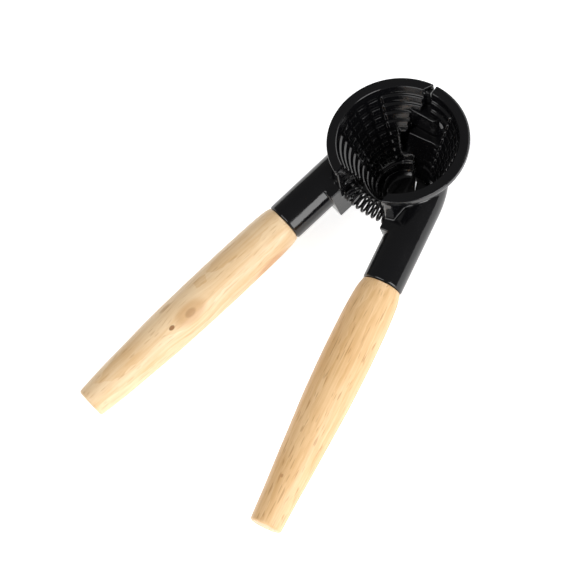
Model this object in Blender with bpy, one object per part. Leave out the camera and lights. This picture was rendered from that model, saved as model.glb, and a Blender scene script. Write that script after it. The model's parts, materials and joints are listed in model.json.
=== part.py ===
"""Funnel nutcracker: two hinged half-funnel jaws with wooden handles and a return spring.

Z is up and the mouth of the funnel is level. The handles run towards -Y and the hinge is at
+Y. Shapes are worked out in millimetres in a frame on the funnel's own axis, with z = 0 under
its foot. They are moved by FUNNEL_Y and scaled to metres at the end, so that the origin is the
middle of the bounding box's foot.
"""
import math

import bmesh
import bpy
from mathutils import Matrix, Vector

MM = 0.001

# Funnel
FUNNEL_Y = 64.40        # the funnel's axis, from the origin
FUNNEL_HEIGHT = 50.0
RIM_RADIUS = 30.0
FLANGE_THICKNESS = 3.2
FLANGE_EDGE = 0.7
FLANGE_FILLET = 1.6
MOUTH_RADIUS = 25.7     # inner radius of the wall, carried up to the rim plane
WALL_SLOPE = 0.335      # loss of radius for each millimetre of depth
WALL_THICKNESS = 3.0
BOWL_DEPTH = 44.0       # below this the wall turns in towards the bottom
BOTTOM_RADIUS = 8.2     # of the hollow, on the closed bottom
BOTTOM_THICKNESS = 3.0
FOOT_RADIUS = 11.6
RING_COUNT = 9
RING_START = 0.5
RING_PITCH = 4.5
RING_LAND = 2.6
RING_FLANK = 0.3
RING_HEIGHT = 0.9
FUNNEL_SEGMENTS = 72

# Hinge, in the funnel's frame
HINGE_Y = 24.6
KNUCKLE_RADIUS = 4.6
PIN_RADIUS = 2.0
PIN_CLEARANCE = 0.3
PIN_HEAD_RADIUS = 3.4
PIN_HEAD_HEIGHT = 1.6
PIN_CHAMFER = 0.4
PIN_END_DEPTH = 2.0     # from the upper knuckle's top to the pin's end
PIN_BORE_END_DEPTH = 1.5
UPPER_KNUCKLE = (25.9, 37.8)
TONGUE = (14.2, 25.4)
LOWER_KNUCKLE = (4.0, 13.7)
KNUCKLE_GAP = 0.4
CLOSING_ANGLE = math.radians(12.0)
LEFT_POCKET = ((-9.2, 10.0), (0.4, 10.0), (0.4, 34.0), (-9.2, 34.0))
# Solid boss behind the left jaw's wall that houses the tongue, and the ear under its rim
HINGE_BOSS = ((-5.4, 12.0), (-5.4, 28.9), (-9.5, 28.2), (-15.5, 21.5), (-15.5, 12.0))
HINGE_BOSS_HEIGHTS = (4.0, 47.2)
HINGE_EAR = ((-3.5, 26.4), (-3.5, 29.5), (-8.0, 28.7), (-8.0, 25.0))
HINGE_EAR_HEIGHTS = (37.1, 47.1)
RIGHT_POCKET = ((-4.0, 10.0), (6.6, 10.0), (6.6, 40.0), (-4.0, 40.0))

# Arms and handles. An axis starts beside the funnel at y = 0 and runs out and down.
ARM_X = 16.5
ARM_DEPTH = 18.78       # below the rim plane
ARM_SPREAD = math.radians(11.06)
ARM_DIP = math.radians(8.70)
ARM_START = -9.0        # the arm's nose, which lies along the funnel's wall
ARM_NOSE = 22.0         # length of the nose
ARM_LENGTH = 50.37
ARM_RADIUS = 8.78
LIP_ROUNDING = 0.9
SOCKET_RADIUS = 7.4
SOCKET_DEPTH = 19.4
HANDLE_LENGTH = 111.64
SPIGOT_RADIUS = 7.1
SPIGOT_LENGTH = 19.0
DOWEL_RADIUS = 2.5
DOWEL_BORE_RADIUS = 2.8
DOWEL_TIP = 0.8
DOWEL_REACH_IN_JAW = 12.0
DOWEL_REACH_IN_HANDLE = 24.0
JOINT_GAP = 0.3
ROUND_SEGMENTS = 32

# Spring seats
SEAT_OFFSET = 9.9       # from an arm's axis to the face that the spring sits on
SEAT_WIDTH = 12.9
SEAT_START = 16.0       # along the arm
SEAT_REAR = 29.6
SEAT_TOP = 7.0
LEFT_SEAT_BOTTOM = 13.0
RIGHT_SEAT_BOTTOM = 8.3
SPRING_Y = -22.0
SPRING_Z = 27.0
PEG_RADIUS = 2.1
PEG_LENGTH = 3.4
PEG_TAPER = 0.3
PEG_ROOT = 2.0          # how deep the peg's root is buried

# Return spring
WIRE_RADIUS = 0.55
COIL_RADIUS = 3.6
COIL_TURNS = 9
COIL_STEPS = 12
WIRE_SIDES = 6
CLOSED_COIL_GAP = 0.15

# Handle profiles: distance from the socket's mouth and radius
LEFT_PROFILE = ((0.3, 8.4), (1.8, 8.9), (5.1, 9.3), (12.4, 9.6),
                (26.5, 9.8), (40.6, 9.83), (55.2, 9.7), (69.3, 9.4),
                (83.4, 8.7), (97.5, 8.0), (109.5, 7.0), (111.1, 6.6))
RIGHT_PROFILE = ((0.3, 8.4), (2.4, 9.0), (6.1, 9.6), (13.4, 10.1),
                 (20.6, 10.3), (35.2, 10.4), (53.4, 10.0), (68.0, 9.2),
                 (82.6, 8.4), (97.0, 7.5), (109.5, 6.9), (111.1, 6.6))
PROFILE_STEPS = 2       # pieces between two profile points
HANDLE_END_BEVEL = 0.9

# The two edges of the split, in plan, from the hinge side round to the handles. Below
# LOWER_SPLIT_TOP the left jaw reaches further, as far as the right jaw lets it when they close.
LEFT_SPLIT = ((-3.4, 40.0), (-3.5, 29.8), (-5.6, 25.9), (-5.2, 9.5),
              (-11.6, -17.5), (-11.9, -28.0), (-12.6, -36.0), (-12.6, -75.0))
RIGHT_SPLIT = ((-2.2, 40.0), (-2.3, 30.3), (-1.9, 25.3), (-0.8, 21.6),
               (0.1, 10.0), (11.9, -17.5), (11.9, -28.0), (12.6, -36.0),
               (12.6, -75.0))
LEFT_LOWER_SPLIT = ((-3.4, 40.0), (-3.5, 29.8), (-5.6, 25.9), (-5.0, 13.5),
                    (-3.3, 9.5), (-1.1, 0.0), (0.9, -10.0), (2.2, -17.5), (2.2, -22.0))
LOWER_SPLIT_TOP = 22.6
SPLIT_REACH = 60.0

# The leaves that close the bowl's bottom. The right one slides over the left ones.
LEFT_LEAF = ((-5.0, 9.0), (-1.9, 9.0), (2.1, 3.2), (6.6, -4.0), (6.5, -8.5), (2.4, -11.0),
             (-5.0, -10.0))
LEFT_TAIL = ((-8.0, 8.5), (7.0, 8.0), (7.5, 9.5), (2.0, 17.5), (-6.0, 17.5))
RIGHT_FOOT = 3.4
RIGHT_LEAF = ((9.0, 7.6), (0.4, 7.6), (3.3, 1.9), (2.6, -4.0), (4.6, -7.8), (9.0, -7.8),
              (12.0, -3.5), (12.0, 3.5))
RIGHT_LEAF_TOP = 5.9

# Notch in the left jaw that the right jaw's spring seat enters when they close
NOTCH_LOW = (0.5, -24.0, 20.1)
NOTCH_HIGH = (4.0, -17.0, 24.0)


def clear_scene():
    for item in list(bpy.data.objects):
        bpy.data.objects.remove(item, do_unlink=True)


def enamel_black():
    return material("black_enamel", (0.012, 0.012, 0.013, 1.0), 0.22, 0.0)


def beech():
    return material("lacquered_beech", (0.72, 0.50, 0.30, 1.0), 0.45, 0.0)


def pin_steel():
    return material("blackened_steel", (0.03, 0.03, 0.032, 1.0), 0.35, 0.6)


def spring_steel():
    return material("spring_wire", (0.02, 0.02, 0.022, 1.0), 0.3, 0.6)


def zinc_steel():
    return material("zinc_plated_steel", (0.60, 0.61, 0.62, 1.0), 0.35, 1.0)


def material(name, colour, roughness, metallic):
    made = bpy.data.materials.get(name) or bpy.data.materials.new(name)
    made.use_nodes = True
    shader = made.node_tree.nodes["Principled BSDF"]
    shader.inputs["Base Color"].default_value = colour
    shader.inputs["Roughness"].default_value = roughness
    shader.inputs["Metallic"].default_value = metallic
    made.diffuse_color = colour
    return made


def to_object(name, shape):
    """Make an object of a bmesh, with its faces turned out."""
    bmesh.ops.recalc_face_normals(shape, faces=shape.faces)
    mesh = bpy.data.meshes.new(name)
    shape.to_mesh(mesh)
    shape.free()
    made = bpy.data.objects.new(name, mesh)
    bpy.context.scene.collection.objects.link(made)
    return made


def lathe(name, profile, segments, frame=None, phase=0.0):
    """Turn a profile of (radius, height) about Z. Its first and last points are on the axis."""
    shape = bmesh.new()
    angles = [math.tau * (i + phase) / segments for i in range(segments)]
    rows = [[shape.verts.new((radius * math.cos(angle), radius * math.sin(angle), height))
             for angle in angles] for radius, height in profile[1:-1]]
    first = shape.verts.new((0.0, 0.0, profile[0][1]))
    last = shape.verts.new((0.0, 0.0, profile[-1][1]))
    for i in range(segments):
        j = (i + 1) % segments
        shape.faces.new((first, rows[0][i], rows[0][j]))
        shape.faces.new((last, rows[-1][j], rows[-1][i]))
        for upper, lower in zip(rows, rows[1:]):
            shape.faces.new((upper[i], lower[i], lower[j], upper[j]))
    if frame is not None:
        shape.transform(frame)
    return to_object(name, shape)


def prism(name, outline, bottom, top):
    """Extrude an outline in plan between two heights."""
    shape = bmesh.new()
    low = [shape.verts.new((x, y, bottom)) for x, y in outline]
    high = [shape.verts.new((x, y, top)) for x, y in outline]
    shape.faces.new(low)
    shape.faces.new(high)
    for i in range(len(outline)):
        j = (i + 1) % len(outline)
        shape.faces.new((low[i], low[j], high[j], high[i]))
    return to_object(name, shape)


def box(name, low, high, frame=None):
    shape = bmesh.new()
    size = [b - a for a, b in zip(low, high)]
    middle = [(a + b) / 2.0 for a, b in zip(low, high)]
    bmesh.ops.create_cube(shape, size=1.0, matrix=Matrix.Translation(middle)
                          @ Matrix.Diagonal((*size, 1.0)))
    if frame is not None:
        shape.transform(frame)
    return to_object(name, shape)


def rod(name, radius, bottom, top, frame=None, tip_radius=None, segments=ROUND_SEGMENTS):
    tip = radius if tip_radius is None else tip_radius
    profile = ((0.0, bottom), (radius, bottom), (tip, top), (0.0, top))
    return lathe(name, profile, segments, frame)


def combine(body, tool, operation):
    """Apply a Boolean of the tool to the body and drop the tool."""
    step = body.modifiers.new("step", "BOOLEAN")
    step.operation = operation
    step.solver = "EXACT"
    step.object = tool
    graph = bpy.context.evaluated_depsgraph_get()
    result = bpy.data.meshes.new_from_object(body.evaluated_get(graph))
    body.modifiers.clear()
    body.data = result
    bpy.data.objects.remove(tool, do_unlink=True)
    return body


def hull(points):
    """Convex outline of points in plan, anticlockwise."""
    ordered = sorted(set(points))

    def half(sequence):
        chain = []
        for x, y in sequence:
            while len(chain) > 1:
                (ax, ay), (bx, by) = chain[-2:]
                if (bx - ax) * (y - ay) - (by - ay) * (x - ax) > 0.0:
                    break
                chain.pop()
            chain.append((x, y))
        return chain[:-1]

    return half(ordered) + half(ordered[::-1])


def ring_points(radius, count=28):
    """Points of a circle about the hinge."""
    return [(radius * math.cos(math.tau * i / count),
             HINGE_Y + radius * math.sin(math.tau * i / count)) for i in range(count)]


def swung(points, angle):
    """Points in plan turned about the hinge."""
    turned = []
    for x, y in points:
        turned.append((x * math.cos(angle) - (y - HINGE_Y) * math.sin(angle),
                       HINGE_Y + x * math.sin(angle) + (y - HINGE_Y) * math.cos(angle)))
    return turned


def wall_radius(depth):
    """Inner radius of the funnel at a depth below the rim plane."""
    if depth <= BOWL_DEPTH:
        return MOUTH_RADIUS - WALL_SLOPE * depth
    start = MOUTH_RADIUS - WALL_SLOPE * BOWL_DEPTH
    part = (depth - BOWL_DEPTH) / (FUNNEL_HEIGHT - BOTTOM_THICKNESS - BOWL_DEPTH)
    return start + (BOTTOM_RADIUS - start) * part * part


def outer_funnel(name):
    """The solid funnel: a flat-topped flange, a fillet and the tapering wall."""
    top = FUNNEL_HEIGHT
    edge = FLANGE_EDGE
    under = top - FLANGE_THICKNESS
    profile = [(0.0, top), (RIM_RADIUS - edge, top), (RIM_RADIUS - 0.3 * edge, top - 0.3 * edge),
               (RIM_RADIUS, top - edge), (RIM_RADIUS, under + edge),
               (RIM_RADIUS - edge, under)]
    fillet = FLANGE_FILLET
    wall_top = wall_radius(FLANGE_THICKNESS + fillet) + WALL_THICKNESS
    for i in range(4):
        angle = math.pi / 2.0 * i / 3.0
        profile.append((wall_top + fillet * (1.0 - math.sin(angle)),
                        under - fillet * (1.0 - math.cos(angle))))
    for depth in (20.0, 34.0, BOWL_DEPTH):
        profile.append((wall_radius(depth) + WALL_THICKNESS, top - depth))
    profile += [(FOOT_RADIUS + 0.6, 0.8), (FOOT_RADIUS, 0.0), (0.0, 0.0)]
    return lathe(name, profile, FUNNEL_SEGMENTS)


def cavity(name):
    """The hollow of the funnel, with the gripping rings left standing in its wall."""
    top = FUNNEL_HEIGHT
    profile = [(0.0, top + 10.0), (MOUTH_RADIUS + 0.6, top + 10.0),
               (MOUTH_RADIUS + 0.6, top + 0.2)]
    for index in range(RING_COUNT):
        start = RING_START + index * RING_PITCH
        end = start + RING_LAND
        profile.append((wall_radius(start), top - start))
        profile.append((wall_radius(end), top - end))
        deep = end + RING_FLANK
        profile.append((wall_radius(deep) + RING_HEIGHT, top - deep))
        deep = start + RING_PITCH - RING_FLANK
        profile.append((wall_radius(deep) + RING_HEIGHT, top - deep))
    last = RING_START + RING_COUNT * RING_PITCH
    for depth in (last, 45.5, top - BOTTOM_THICKNESS):
        profile.append((wall_radius(depth), top - depth))
    profile.append((0.0, BOTTOM_THICKNESS))
    return lathe(name, profile, FUNNEL_SEGMENTS, phase=0.4)


def beside(split, side):
    return list(split) + [(side * SPLIT_REACH, split[-1][1]), (side * SPLIT_REACH, split[0][1])]


def side_region(name, side):
    """Everything on one side of the split, as a tall prism."""
    split = LEFT_SPLIT if side < 0 else RIGHT_SPLIT
    region = prism(name, beside(split, side), -20.0, FUNNEL_HEIGHT + 20.0)
    if side > 0:
        return region
    lower = prism("lower", beside(LEFT_LOWER_SPLIT, side), -25.0, LOWER_SPLIT_TOP)
    return combine(region, lower, "UNION")


def arm_frame(side):
    """Local Z runs out along the arm, local X points at the other arm, local Y is up."""
    out = Vector((side * math.sin(ARM_SPREAD) * math.cos(ARM_DIP),
                  -math.cos(ARM_SPREAD) * math.cos(ARM_DIP), -math.sin(ARM_DIP)))
    inward = Vector((-side * math.cos(ARM_SPREAD), -math.sin(ARM_SPREAD), 0.0))
    up = out.cross(inward)
    if up.z < 0.0:
        up = -up
    start = Vector((side * ARM_X, 0.0, FUNNEL_HEIGHT - ARM_DEPTH))
    frame = Matrix.Identity(4)
    for column, axis in enumerate((inward, up, out, start)):
        for row in range(3):
            frame[row][column] = axis[row]
    return frame


def arm(name, side):
    """The round arm, with a nose that dies into the wall and the rounded lip of its socket."""
    rounding = LIP_ROUNDING
    profile = [(0.0, ARM_START)]
    for step in range(1, 6):
        angle = math.pi / 2.0 * step / 5.0
        profile.append((ARM_RADIUS * math.sin(angle),
                        ARM_START + ARM_NOSE * (1.0 - math.cos(angle))))
    profile += [(ARM_RADIUS, ARM_LENGTH - rounding),
                (ARM_RADIUS - 0.3 * rounding, ARM_LENGTH - 0.3 * rounding),
                (ARM_RADIUS - rounding, ARM_LENGTH), (0.0, ARM_LENGTH)]
    return lathe(name, profile, ROUND_SEGMENTS, arm_frame(side))


def socket_bore(name, side):
    """The socket for a handle's spigot, with the narrower hole for the dowel beyond it."""
    mouth = ARM_LENGTH + 5.0
    step = ARM_LENGTH - SOCKET_DEPTH
    end = step - DOWEL_REACH_IN_JAW - JOINT_GAP
    profile = ((0.0, mouth), (SOCKET_RADIUS, mouth), (SOCKET_RADIUS, step),
               (DOWEL_BORE_RADIUS, step), (DOWEL_BORE_RADIUS, end), (0.0, end))
    return lathe(name, profile, ROUND_SEGMENTS, arm_frame(side), phase=0.5)


def seat_block(name, side):
    """The block beside the arm's root that carries the spring's seat."""
    bottom = LEFT_SEAT_BOTTOM if side < 0 else RIGHT_SEAT_BOTTOM
    low = (SEAT_OFFSET - SEAT_WIDTH, -bottom, SEAT_START)
    high = (SEAT_OFFSET, SEAT_TOP, SEAT_REAR)
    return box(name, low, high, arm_frame(side))


def edge_rib(name, side):
    """The upright rib that stiffens a jaw's free edge between the rim and its arm."""
    outline = [(side * x, y) for x, y in ((11.8, -15.0), (11.8, -26.6),
                                          (15.6, -25.2), (17.0, -15.0))]
    return prism(name, outline, FUNNEL_HEIGHT - 22.0, FUNNEL_HEIGHT - 1.0)


def seat_point(side):
    """Where the spring's axis meets the seat's face."""
    frame = arm_frame(side)
    inward = frame.col[0].xyz
    start = frame.col[3].xyz
    middle = Vector((0.0, SPRING_Y, SPRING_Z))
    reach = (SEAT_OFFSET - (middle - start).dot(inward)) / inward.x
    return middle + Vector((reach, 0.0, 0.0))


def seat_peg(name, side):
    """The peg that keeps the spring's end on its seat."""
    frame = arm_frame(side)
    inward = frame.col[0].xyz
    turn = inward.to_track_quat("Z", "Y").to_matrix().to_4x4()
    place = Matrix.Translation(seat_point(side)) @ turn
    return rod(name, PEG_RADIUS, -PEG_ROOT, PEG_LENGTH, place, PEG_RADIUS - PEG_TAPER, 20)


def tongue_outline():
    """Plan of the right jaw's middle knuckle, before its front is sloped."""
    return hull(ring_points(KNUCKLE_RADIUS)
                + [(-8.4, 11.2), (-8.4, 19.0), (8.0, 12.5), (10.5, 18.5)])


def tongue(name):
    """The middle knuckle: its front is a flat that continues the funnel's slope."""
    made = prism(name, tongue_outline(), *TONGUE)
    lean = math.atan(WALL_SLOPE)
    turn = math.atan(0.14)
    place = (Matrix.Translation((0.0, 16.6, TONGUE[1])) @ Matrix.Rotation(turn, 4, "Z")
             @ Matrix.Rotation(-lean, 4, "X"))
    return combine(made, box("cut", (-30.0, -20.0, -30.0), (30.0, 0.0, 30.0), place), "DIFFERENCE")


def knuckle(name, heights, corners):
    return prism(name, hull(ring_points(KNUCKLE_RADIUS) + corners), *heights)


def pin_bore(name, bottom, top):
    frame = Matrix.Translation((0.0, HINGE_Y, 0.0))
    return rod(name, PIN_RADIUS + PIN_CLEARANCE, bottom, top, frame, segments=24)


def jaw_body(name, side):
    """Half funnel, arm, seat block and rib, hollowed by the cavity and the socket."""
    body = outer_funnel(name)
    body = combine(body, arm("arm", side), "UNION")
    body = combine(body, side_region("side", side), "INTERSECT")
    if side < 0:
        body = combine(body, prism("boss", HINGE_BOSS, *HINGE_BOSS_HEIGHTS), "UNION")
        body = combine(body, prism("ear", HINGE_EAR, *HINGE_EAR_HEIGHTS), "UNION")
    body = combine(body, seat_block("block", side), "UNION")
    body = combine(body, edge_rib("rib", side), "UNION")
    body = combine(body, cavity("hollow"), "DIFFERENCE")
    body = combine(body, seat_peg("peg", side), "UNION")
    return combine(body, socket_bore("bore", side), "DIFFERENCE")


def left_jaw():
    body = jaw_body("left_jaw", -1)
    body = combine(body, prism("leaf", LEFT_LEAF, 0.0, BOTTOM_THICKNESS), "UNION")
    body = combine(body, prism("tail", LEFT_TAIL, 0.0, BOTTOM_THICKNESS), "UNION")
    body = combine(body, box("notch", NOTCH_LOW, NOTCH_HIGH), "DIFFERENCE")
    pocket = prism("pocket", LEFT_POCKET, UPPER_KNUCKLE[0] - KNUCKLE_GAP, UPPER_KNUCKLE[1] + KNUCKLE_GAP)
    body = combine(body, pocket, "DIFFERENCE")
    swept = []
    for step in range(4):
        swept += swung(tongue_outline(), -CLOSING_ANGLE * step / 3.0)
    grown = [(x - 0.5, y) for x, y in swept] + ring_points(KNUCKLE_RADIUS + 0.5)
    sweep = prism("sweep", hull(grown), TONGUE[0] - KNUCKLE_GAP, TONGUE[1] + KNUCKLE_GAP)
    body = combine(body, sweep, "DIFFERENCE")
    upper = knuckle("upper", UPPER_KNUCKLE, [(-13.5, 19.5), (-12.5, 23.5)])
    body = combine(body, upper, "UNION")
    lower = knuckle("lower", LOWER_KNUCKLE, [(-10.5, 10.5), (-6.6, 12.8)])
    body = combine(body, lower, "UNION")
    bore = pin_bore("bore", LOWER_KNUCKLE[0] - 1.0, UPPER_KNUCKLE[1] - PIN_BORE_END_DEPTH)
    return combine(body, bore, "DIFFERENCE")


def right_jaw():
    body = jaw_body("right_jaw", 1)
    raised = box("raised", (-RIM_RADIUS, -RIM_RADIUS, -10.0), (RIM_RADIUS, RIM_RADIUS, RIGHT_FOOT))
    body = combine(body, raised, "DIFFERENCE")
    body = combine(body, prism("leaf", RIGHT_LEAF, RIGHT_FOOT, RIGHT_LEAF_TOP), "UNION")
    pocket = prism("pocket", RIGHT_POCKET, TONGUE[1] - 0.1, UPPER_KNUCKLE[1] + KNUCKLE_GAP)
    body = combine(body, pocket, "DIFFERENCE")
    body = combine(body, tongue("tongue"), "UNION")
    bore = pin_bore("bore", TONGUE[0] - 1.0, TONGUE[1] + 1.0)
    return combine(body, bore, "DIFFERENCE")


def hinge_pin():
    """Plain pin with a round head under the lower knuckle."""
    top = UPPER_KNUCKLE[1] - PIN_END_DEPTH
    head_top = LOWER_KNUCKLE[0] - JOINT_GAP
    base = head_top - PIN_HEAD_HEIGHT
    profile = ((0.0, top), (PIN_RADIUS - PIN_CHAMFER, top),
               (PIN_RADIUS, top - PIN_CHAMFER),
               (PIN_RADIUS, head_top), (PIN_HEAD_RADIUS, head_top),
               (PIN_HEAD_RADIUS, base + 0.7), (PIN_HEAD_RADIUS - 0.8, base), (0.0, base))
    return lathe("hinge_pin", profile, 32, Matrix.Translation((0.0, HINGE_Y, 0.0)))


def smooth_profile(points):
    """Points on a smooth curve through the given ones."""
    curve = []
    for index in range(len(points) - 1):
        before = points[max(index - 1, 0)]
        start = points[index]
        end = points[index + 1]
        after = points[min(index + 2, len(points) - 1)]
        for step in range(PROFILE_STEPS):
            t = step / PROFILE_STEPS
            curve.append(tuple(0.5 * (2.0 * b + (c - a) * t
                                      + (2.0 * a - 5.0 * b + 4.0 * c - d) * t * t
                                      + (3.0 * b - a - 3.0 * c + d) * t ** 3)
                               for a, b, c, d in zip(before, start, end, after)))
    return curve + [points[-1]]


def handle(name, side, points):
    """Turned wooden handle with a spigot for the socket and a bore for the dowel."""
    bore_end = DOWEL_REACH_IN_HANDLE + JOINT_GAP
    inner = JOINT_GAP - SPIGOT_LENGTH
    profile = [(0.0, bore_end), (DOWEL_BORE_RADIUS, bore_end), (DOWEL_BORE_RADIUS, inner),
               (SPIGOT_RADIUS, inner), (SPIGOT_RADIUS, JOINT_GAP)]
    profile += [(radius, distance) for distance, radius in smooth_profile(points)]
    profile += [(points[-1][1] - HANDLE_END_BEVEL, HANDLE_LENGTH), (0.0, HANDLE_LENGTH)]
    frame = arm_frame(side) @ Matrix.Translation((0.0, 0.0, ARM_LENGTH))
    return lathe(name, profile, ROUND_SEGMENTS, frame)


def dowel_screw(name, side):
    """Headless double-ended screw that holds a handle in its socket."""
    start = ARM_LENGTH - SOCKET_DEPTH - DOWEL_REACH_IN_JAW
    end = ARM_LENGTH + DOWEL_REACH_IN_HANDLE
    tip = DOWEL_TIP
    profile = ((0.0, start), (DOWEL_RADIUS - tip, start), (DOWEL_RADIUS, start + tip),
               (DOWEL_RADIUS, end - 2.0 * tip), (DOWEL_RADIUS - 1.5 * tip, end), (0.0, end))
    return lathe(name, profile, 20, arm_frame(side))


def coil_path(turn, arc_radius, arc_middle, half_angle):
    """Centre of the wire after a number of turns, and the arc's own directions there."""
    closed = (2.0 * WIRE_RADIUS + CLOSED_COIL_GAP) / arc_radius
    last = COIL_TURNS - 1.0
    inner_start = closed - half_angle
    if turn < 1.0:
        angle = closed * turn - half_angle
    elif turn > last:
        angle = half_angle - closed * (COIL_TURNS - turn)
    else:
        angle = inner_start - 2.0 * inner_start * (turn - 1.0) / (last - 1.0)
    radial = Vector((math.sin(angle), -math.cos(angle), 0.0))
    phase = math.tau * turn
    offset = radial * math.cos(phase) + Vector((0.0, 0.0, math.sin(phase)))
    return arc_middle + radial * arc_radius + offset * COIL_RADIUS


def return_spring():
    """Compression spring bowed between the two seats, with closed end coils."""
    seat = seat_point(1)
    arc_radius = seat.x / math.sin(ARM_SPREAD)
    arc_middle = Vector((0.0, seat.y + arc_radius * math.cos(ARM_SPREAD), seat.z))
    half_angle = ARM_SPREAD - (JOINT_GAP + WIRE_RADIUS) / arc_radius
    count = COIL_TURNS * COIL_STEPS
    centres = [coil_path(i / COIL_STEPS, arc_radius, arc_middle, half_angle)
               for i in range(count + 1)]
    shape = bmesh.new()
    rows = []
    for i, centre in enumerate(centres):
        ahead = centres[min(i + 1, count)] - centres[max(i - 1, 0)]
        ahead.normalize()
        outward = centre - arc_middle
        outward.z = 0.0
        outward = centre - (arc_middle + outward.normalized() * arc_radius)
        across = ahead.cross(outward).normalized()
        outward = across.cross(ahead).normalized()
        rows.append([shape.verts.new(centre + WIRE_RADIUS
                                     * (math.cos(math.tau * k / WIRE_SIDES) * outward
                                        + math.sin(math.tau * k / WIRE_SIDES) * across))
                     for k in range(WIRE_SIDES)])
    for near, far in zip(rows, rows[1:]):
        for k in range(WIRE_SIDES):
            j = (k + 1) % WIRE_SIDES
            shape.faces.new((near[k], near[j], far[j], far[k]))
    shape.faces.new(rows[0])
    shape.faces.new(rows[-1])
    return to_object("return_spring", shape)


def finish(item, look, pivot):
    """Move a piece into the object's frame with its origin at a pivot, and give it its look."""
    move = Matrix.Translation(Vector((0.0, FUNNEL_Y, 0.0)) - pivot)
    item.data.transform(Matrix.Scale(MM, 4) @ move)
    item.location = pivot * MM
    item.data.materials.clear()
    item.data.materials.append(look)
    item.data.shade_smooth()
    item.data.set_sharp_from_angle(angle=math.radians(32.0))


def main():
    clear_scene()
    hinge = Vector((0.0, FUNNEL_Y + HINGE_Y, 0.0))
    finish(left_jaw(), enamel_black(), hinge)
    finish(right_jaw(), enamel_black(), hinge)
    finish(hinge_pin(), pin_steel(), hinge)
    finish(handle("left_handle", -1, LEFT_PROFILE), beech(), hinge)
    finish(handle("right_handle", 1, RIGHT_PROFILE), beech(), hinge)
    finish(dowel_screw("left_dowel_screw", -1), zinc_steel(), hinge)
    finish(dowel_screw("right_dowel_screw", 1), zinc_steel(), hinge)
    finish(return_spring(), spring_steel(), hinge)


main()
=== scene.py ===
"""Looks of a funnel nutcracker: enamelled cast jaws, turned beech handles, a coil spring."""
import json
import math

import bmesh
import bpy
import numpy as np
from bpy.props import FloatProperty, FloatVectorProperty, IntProperty, PointerProperty
from mathutils import Matrix, Vector

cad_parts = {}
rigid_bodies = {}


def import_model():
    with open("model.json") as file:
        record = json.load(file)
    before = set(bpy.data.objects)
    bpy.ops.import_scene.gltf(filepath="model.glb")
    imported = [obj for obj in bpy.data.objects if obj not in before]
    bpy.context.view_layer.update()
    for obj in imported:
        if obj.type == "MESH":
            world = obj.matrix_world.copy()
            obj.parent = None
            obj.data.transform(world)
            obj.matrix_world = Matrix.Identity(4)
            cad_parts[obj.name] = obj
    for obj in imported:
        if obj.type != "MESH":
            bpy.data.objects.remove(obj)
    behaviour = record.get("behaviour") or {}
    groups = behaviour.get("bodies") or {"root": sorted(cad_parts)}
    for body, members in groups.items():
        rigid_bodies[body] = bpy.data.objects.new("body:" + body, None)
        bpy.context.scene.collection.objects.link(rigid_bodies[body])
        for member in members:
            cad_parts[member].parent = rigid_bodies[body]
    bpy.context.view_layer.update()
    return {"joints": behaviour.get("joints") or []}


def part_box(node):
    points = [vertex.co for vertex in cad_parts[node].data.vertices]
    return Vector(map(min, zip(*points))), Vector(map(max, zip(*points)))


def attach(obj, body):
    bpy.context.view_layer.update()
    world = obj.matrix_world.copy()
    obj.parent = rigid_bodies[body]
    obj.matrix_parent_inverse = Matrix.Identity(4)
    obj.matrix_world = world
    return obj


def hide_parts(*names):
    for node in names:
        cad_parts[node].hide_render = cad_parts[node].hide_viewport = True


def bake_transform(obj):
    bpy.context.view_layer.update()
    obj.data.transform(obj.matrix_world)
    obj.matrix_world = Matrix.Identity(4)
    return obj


bl_info = {
    "name": "Funnel nutcracker",
    "version": (1, 0, 0),
    "blender": (4, 5, 0),
    "location": "3D View > Sidebar > Nutcracker",
    "description": "Builds the visual pieces of a funnel nutcracker around its packed frame",
    "category": "Object",
}

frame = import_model()
HINGE = Vector(frame["joints"][0]["pos_m"])
MM = 0.001
LEFT = -1
RIGHT = 1
BODY = {LEFT: "left_side", RIGHT: "right_side"}
SIDE_NAME = {LEFT: "left", RIGHT: "right"}

# Shape of the castings, in millimetres, in a frame on the funnel's axis with z = 0 at its foot
FUNNEL_HEIGHT = 1000.0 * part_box("left_jaw")[1].z
RIM_RADIUS = 30.0
FLANGE_THICKNESS = 3.2
MOUTH_RADIUS = 25.7
WALL_SLOPE = 0.335
WALL_THICKNESS = 3.0
BOWL_DEPTH = 44.0
BOTTOM_RADIUS = 8.2
BOTTOM_THICKNESS = 3.0
FOOT_RADIUS = 11.6
HINGE_Y = 24.6
FOOT = np.array([HINGE.x, HINGE.y - HINGE_Y * MM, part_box("left_jaw")[0].z])
KNUCKLE_RADIUS = 4.6
KNUCKLE_GAP = 0.4
PIN_RADIUS = 2.0
PIN_BORE_RADIUS = 2.3
UPPER_KNUCKLE = (25.9, 37.8)
TONGUE = (14.2, 25.4)
LOWER_KNUCKLE = (4.0, 13.7)
CLOSING_ANGLE = math.radians(12.0)
LEFT_SPLIT = ((-3.4, 40.0), (-3.5, 29.8), (-5.6, 25.9), (-5.2, 9.5),
              (-11.6, -17.5), (-11.9, -28.0), (-12.6, -36.0), (-12.6, -75.0))
RIGHT_SPLIT = ((-2.2, 40.0), (-2.3, 30.3), (-1.9, 25.3), (-0.8, 21.6),
               (0.1, 10.0), (11.9, -17.5), (11.9, -28.0), (12.6, -36.0), (12.6, -75.0))
LEFT_LOWER_SPLIT = ((-3.4, 40.0), (-3.5, 29.8), (-5.6, 25.9), (-5.0, 13.5),
                    (-3.3, 9.5), (-1.1, 0.0), (0.9, -10.0), (2.2, -17.5), (2.2, -22.0))
LOWER_SPLIT_TOP = 22.6
NOTCH = ((0.5, 4.0), (-24.0, -17.0), (20.1, 24.0))
LEFT_LEAF = ((-5.0, 9.0), (-1.9, 9.0), (2.1, 3.2), (6.6, -4.0), (6.5, -8.5), (2.4, -11.0),
             (-5.0, -10.0))
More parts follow.
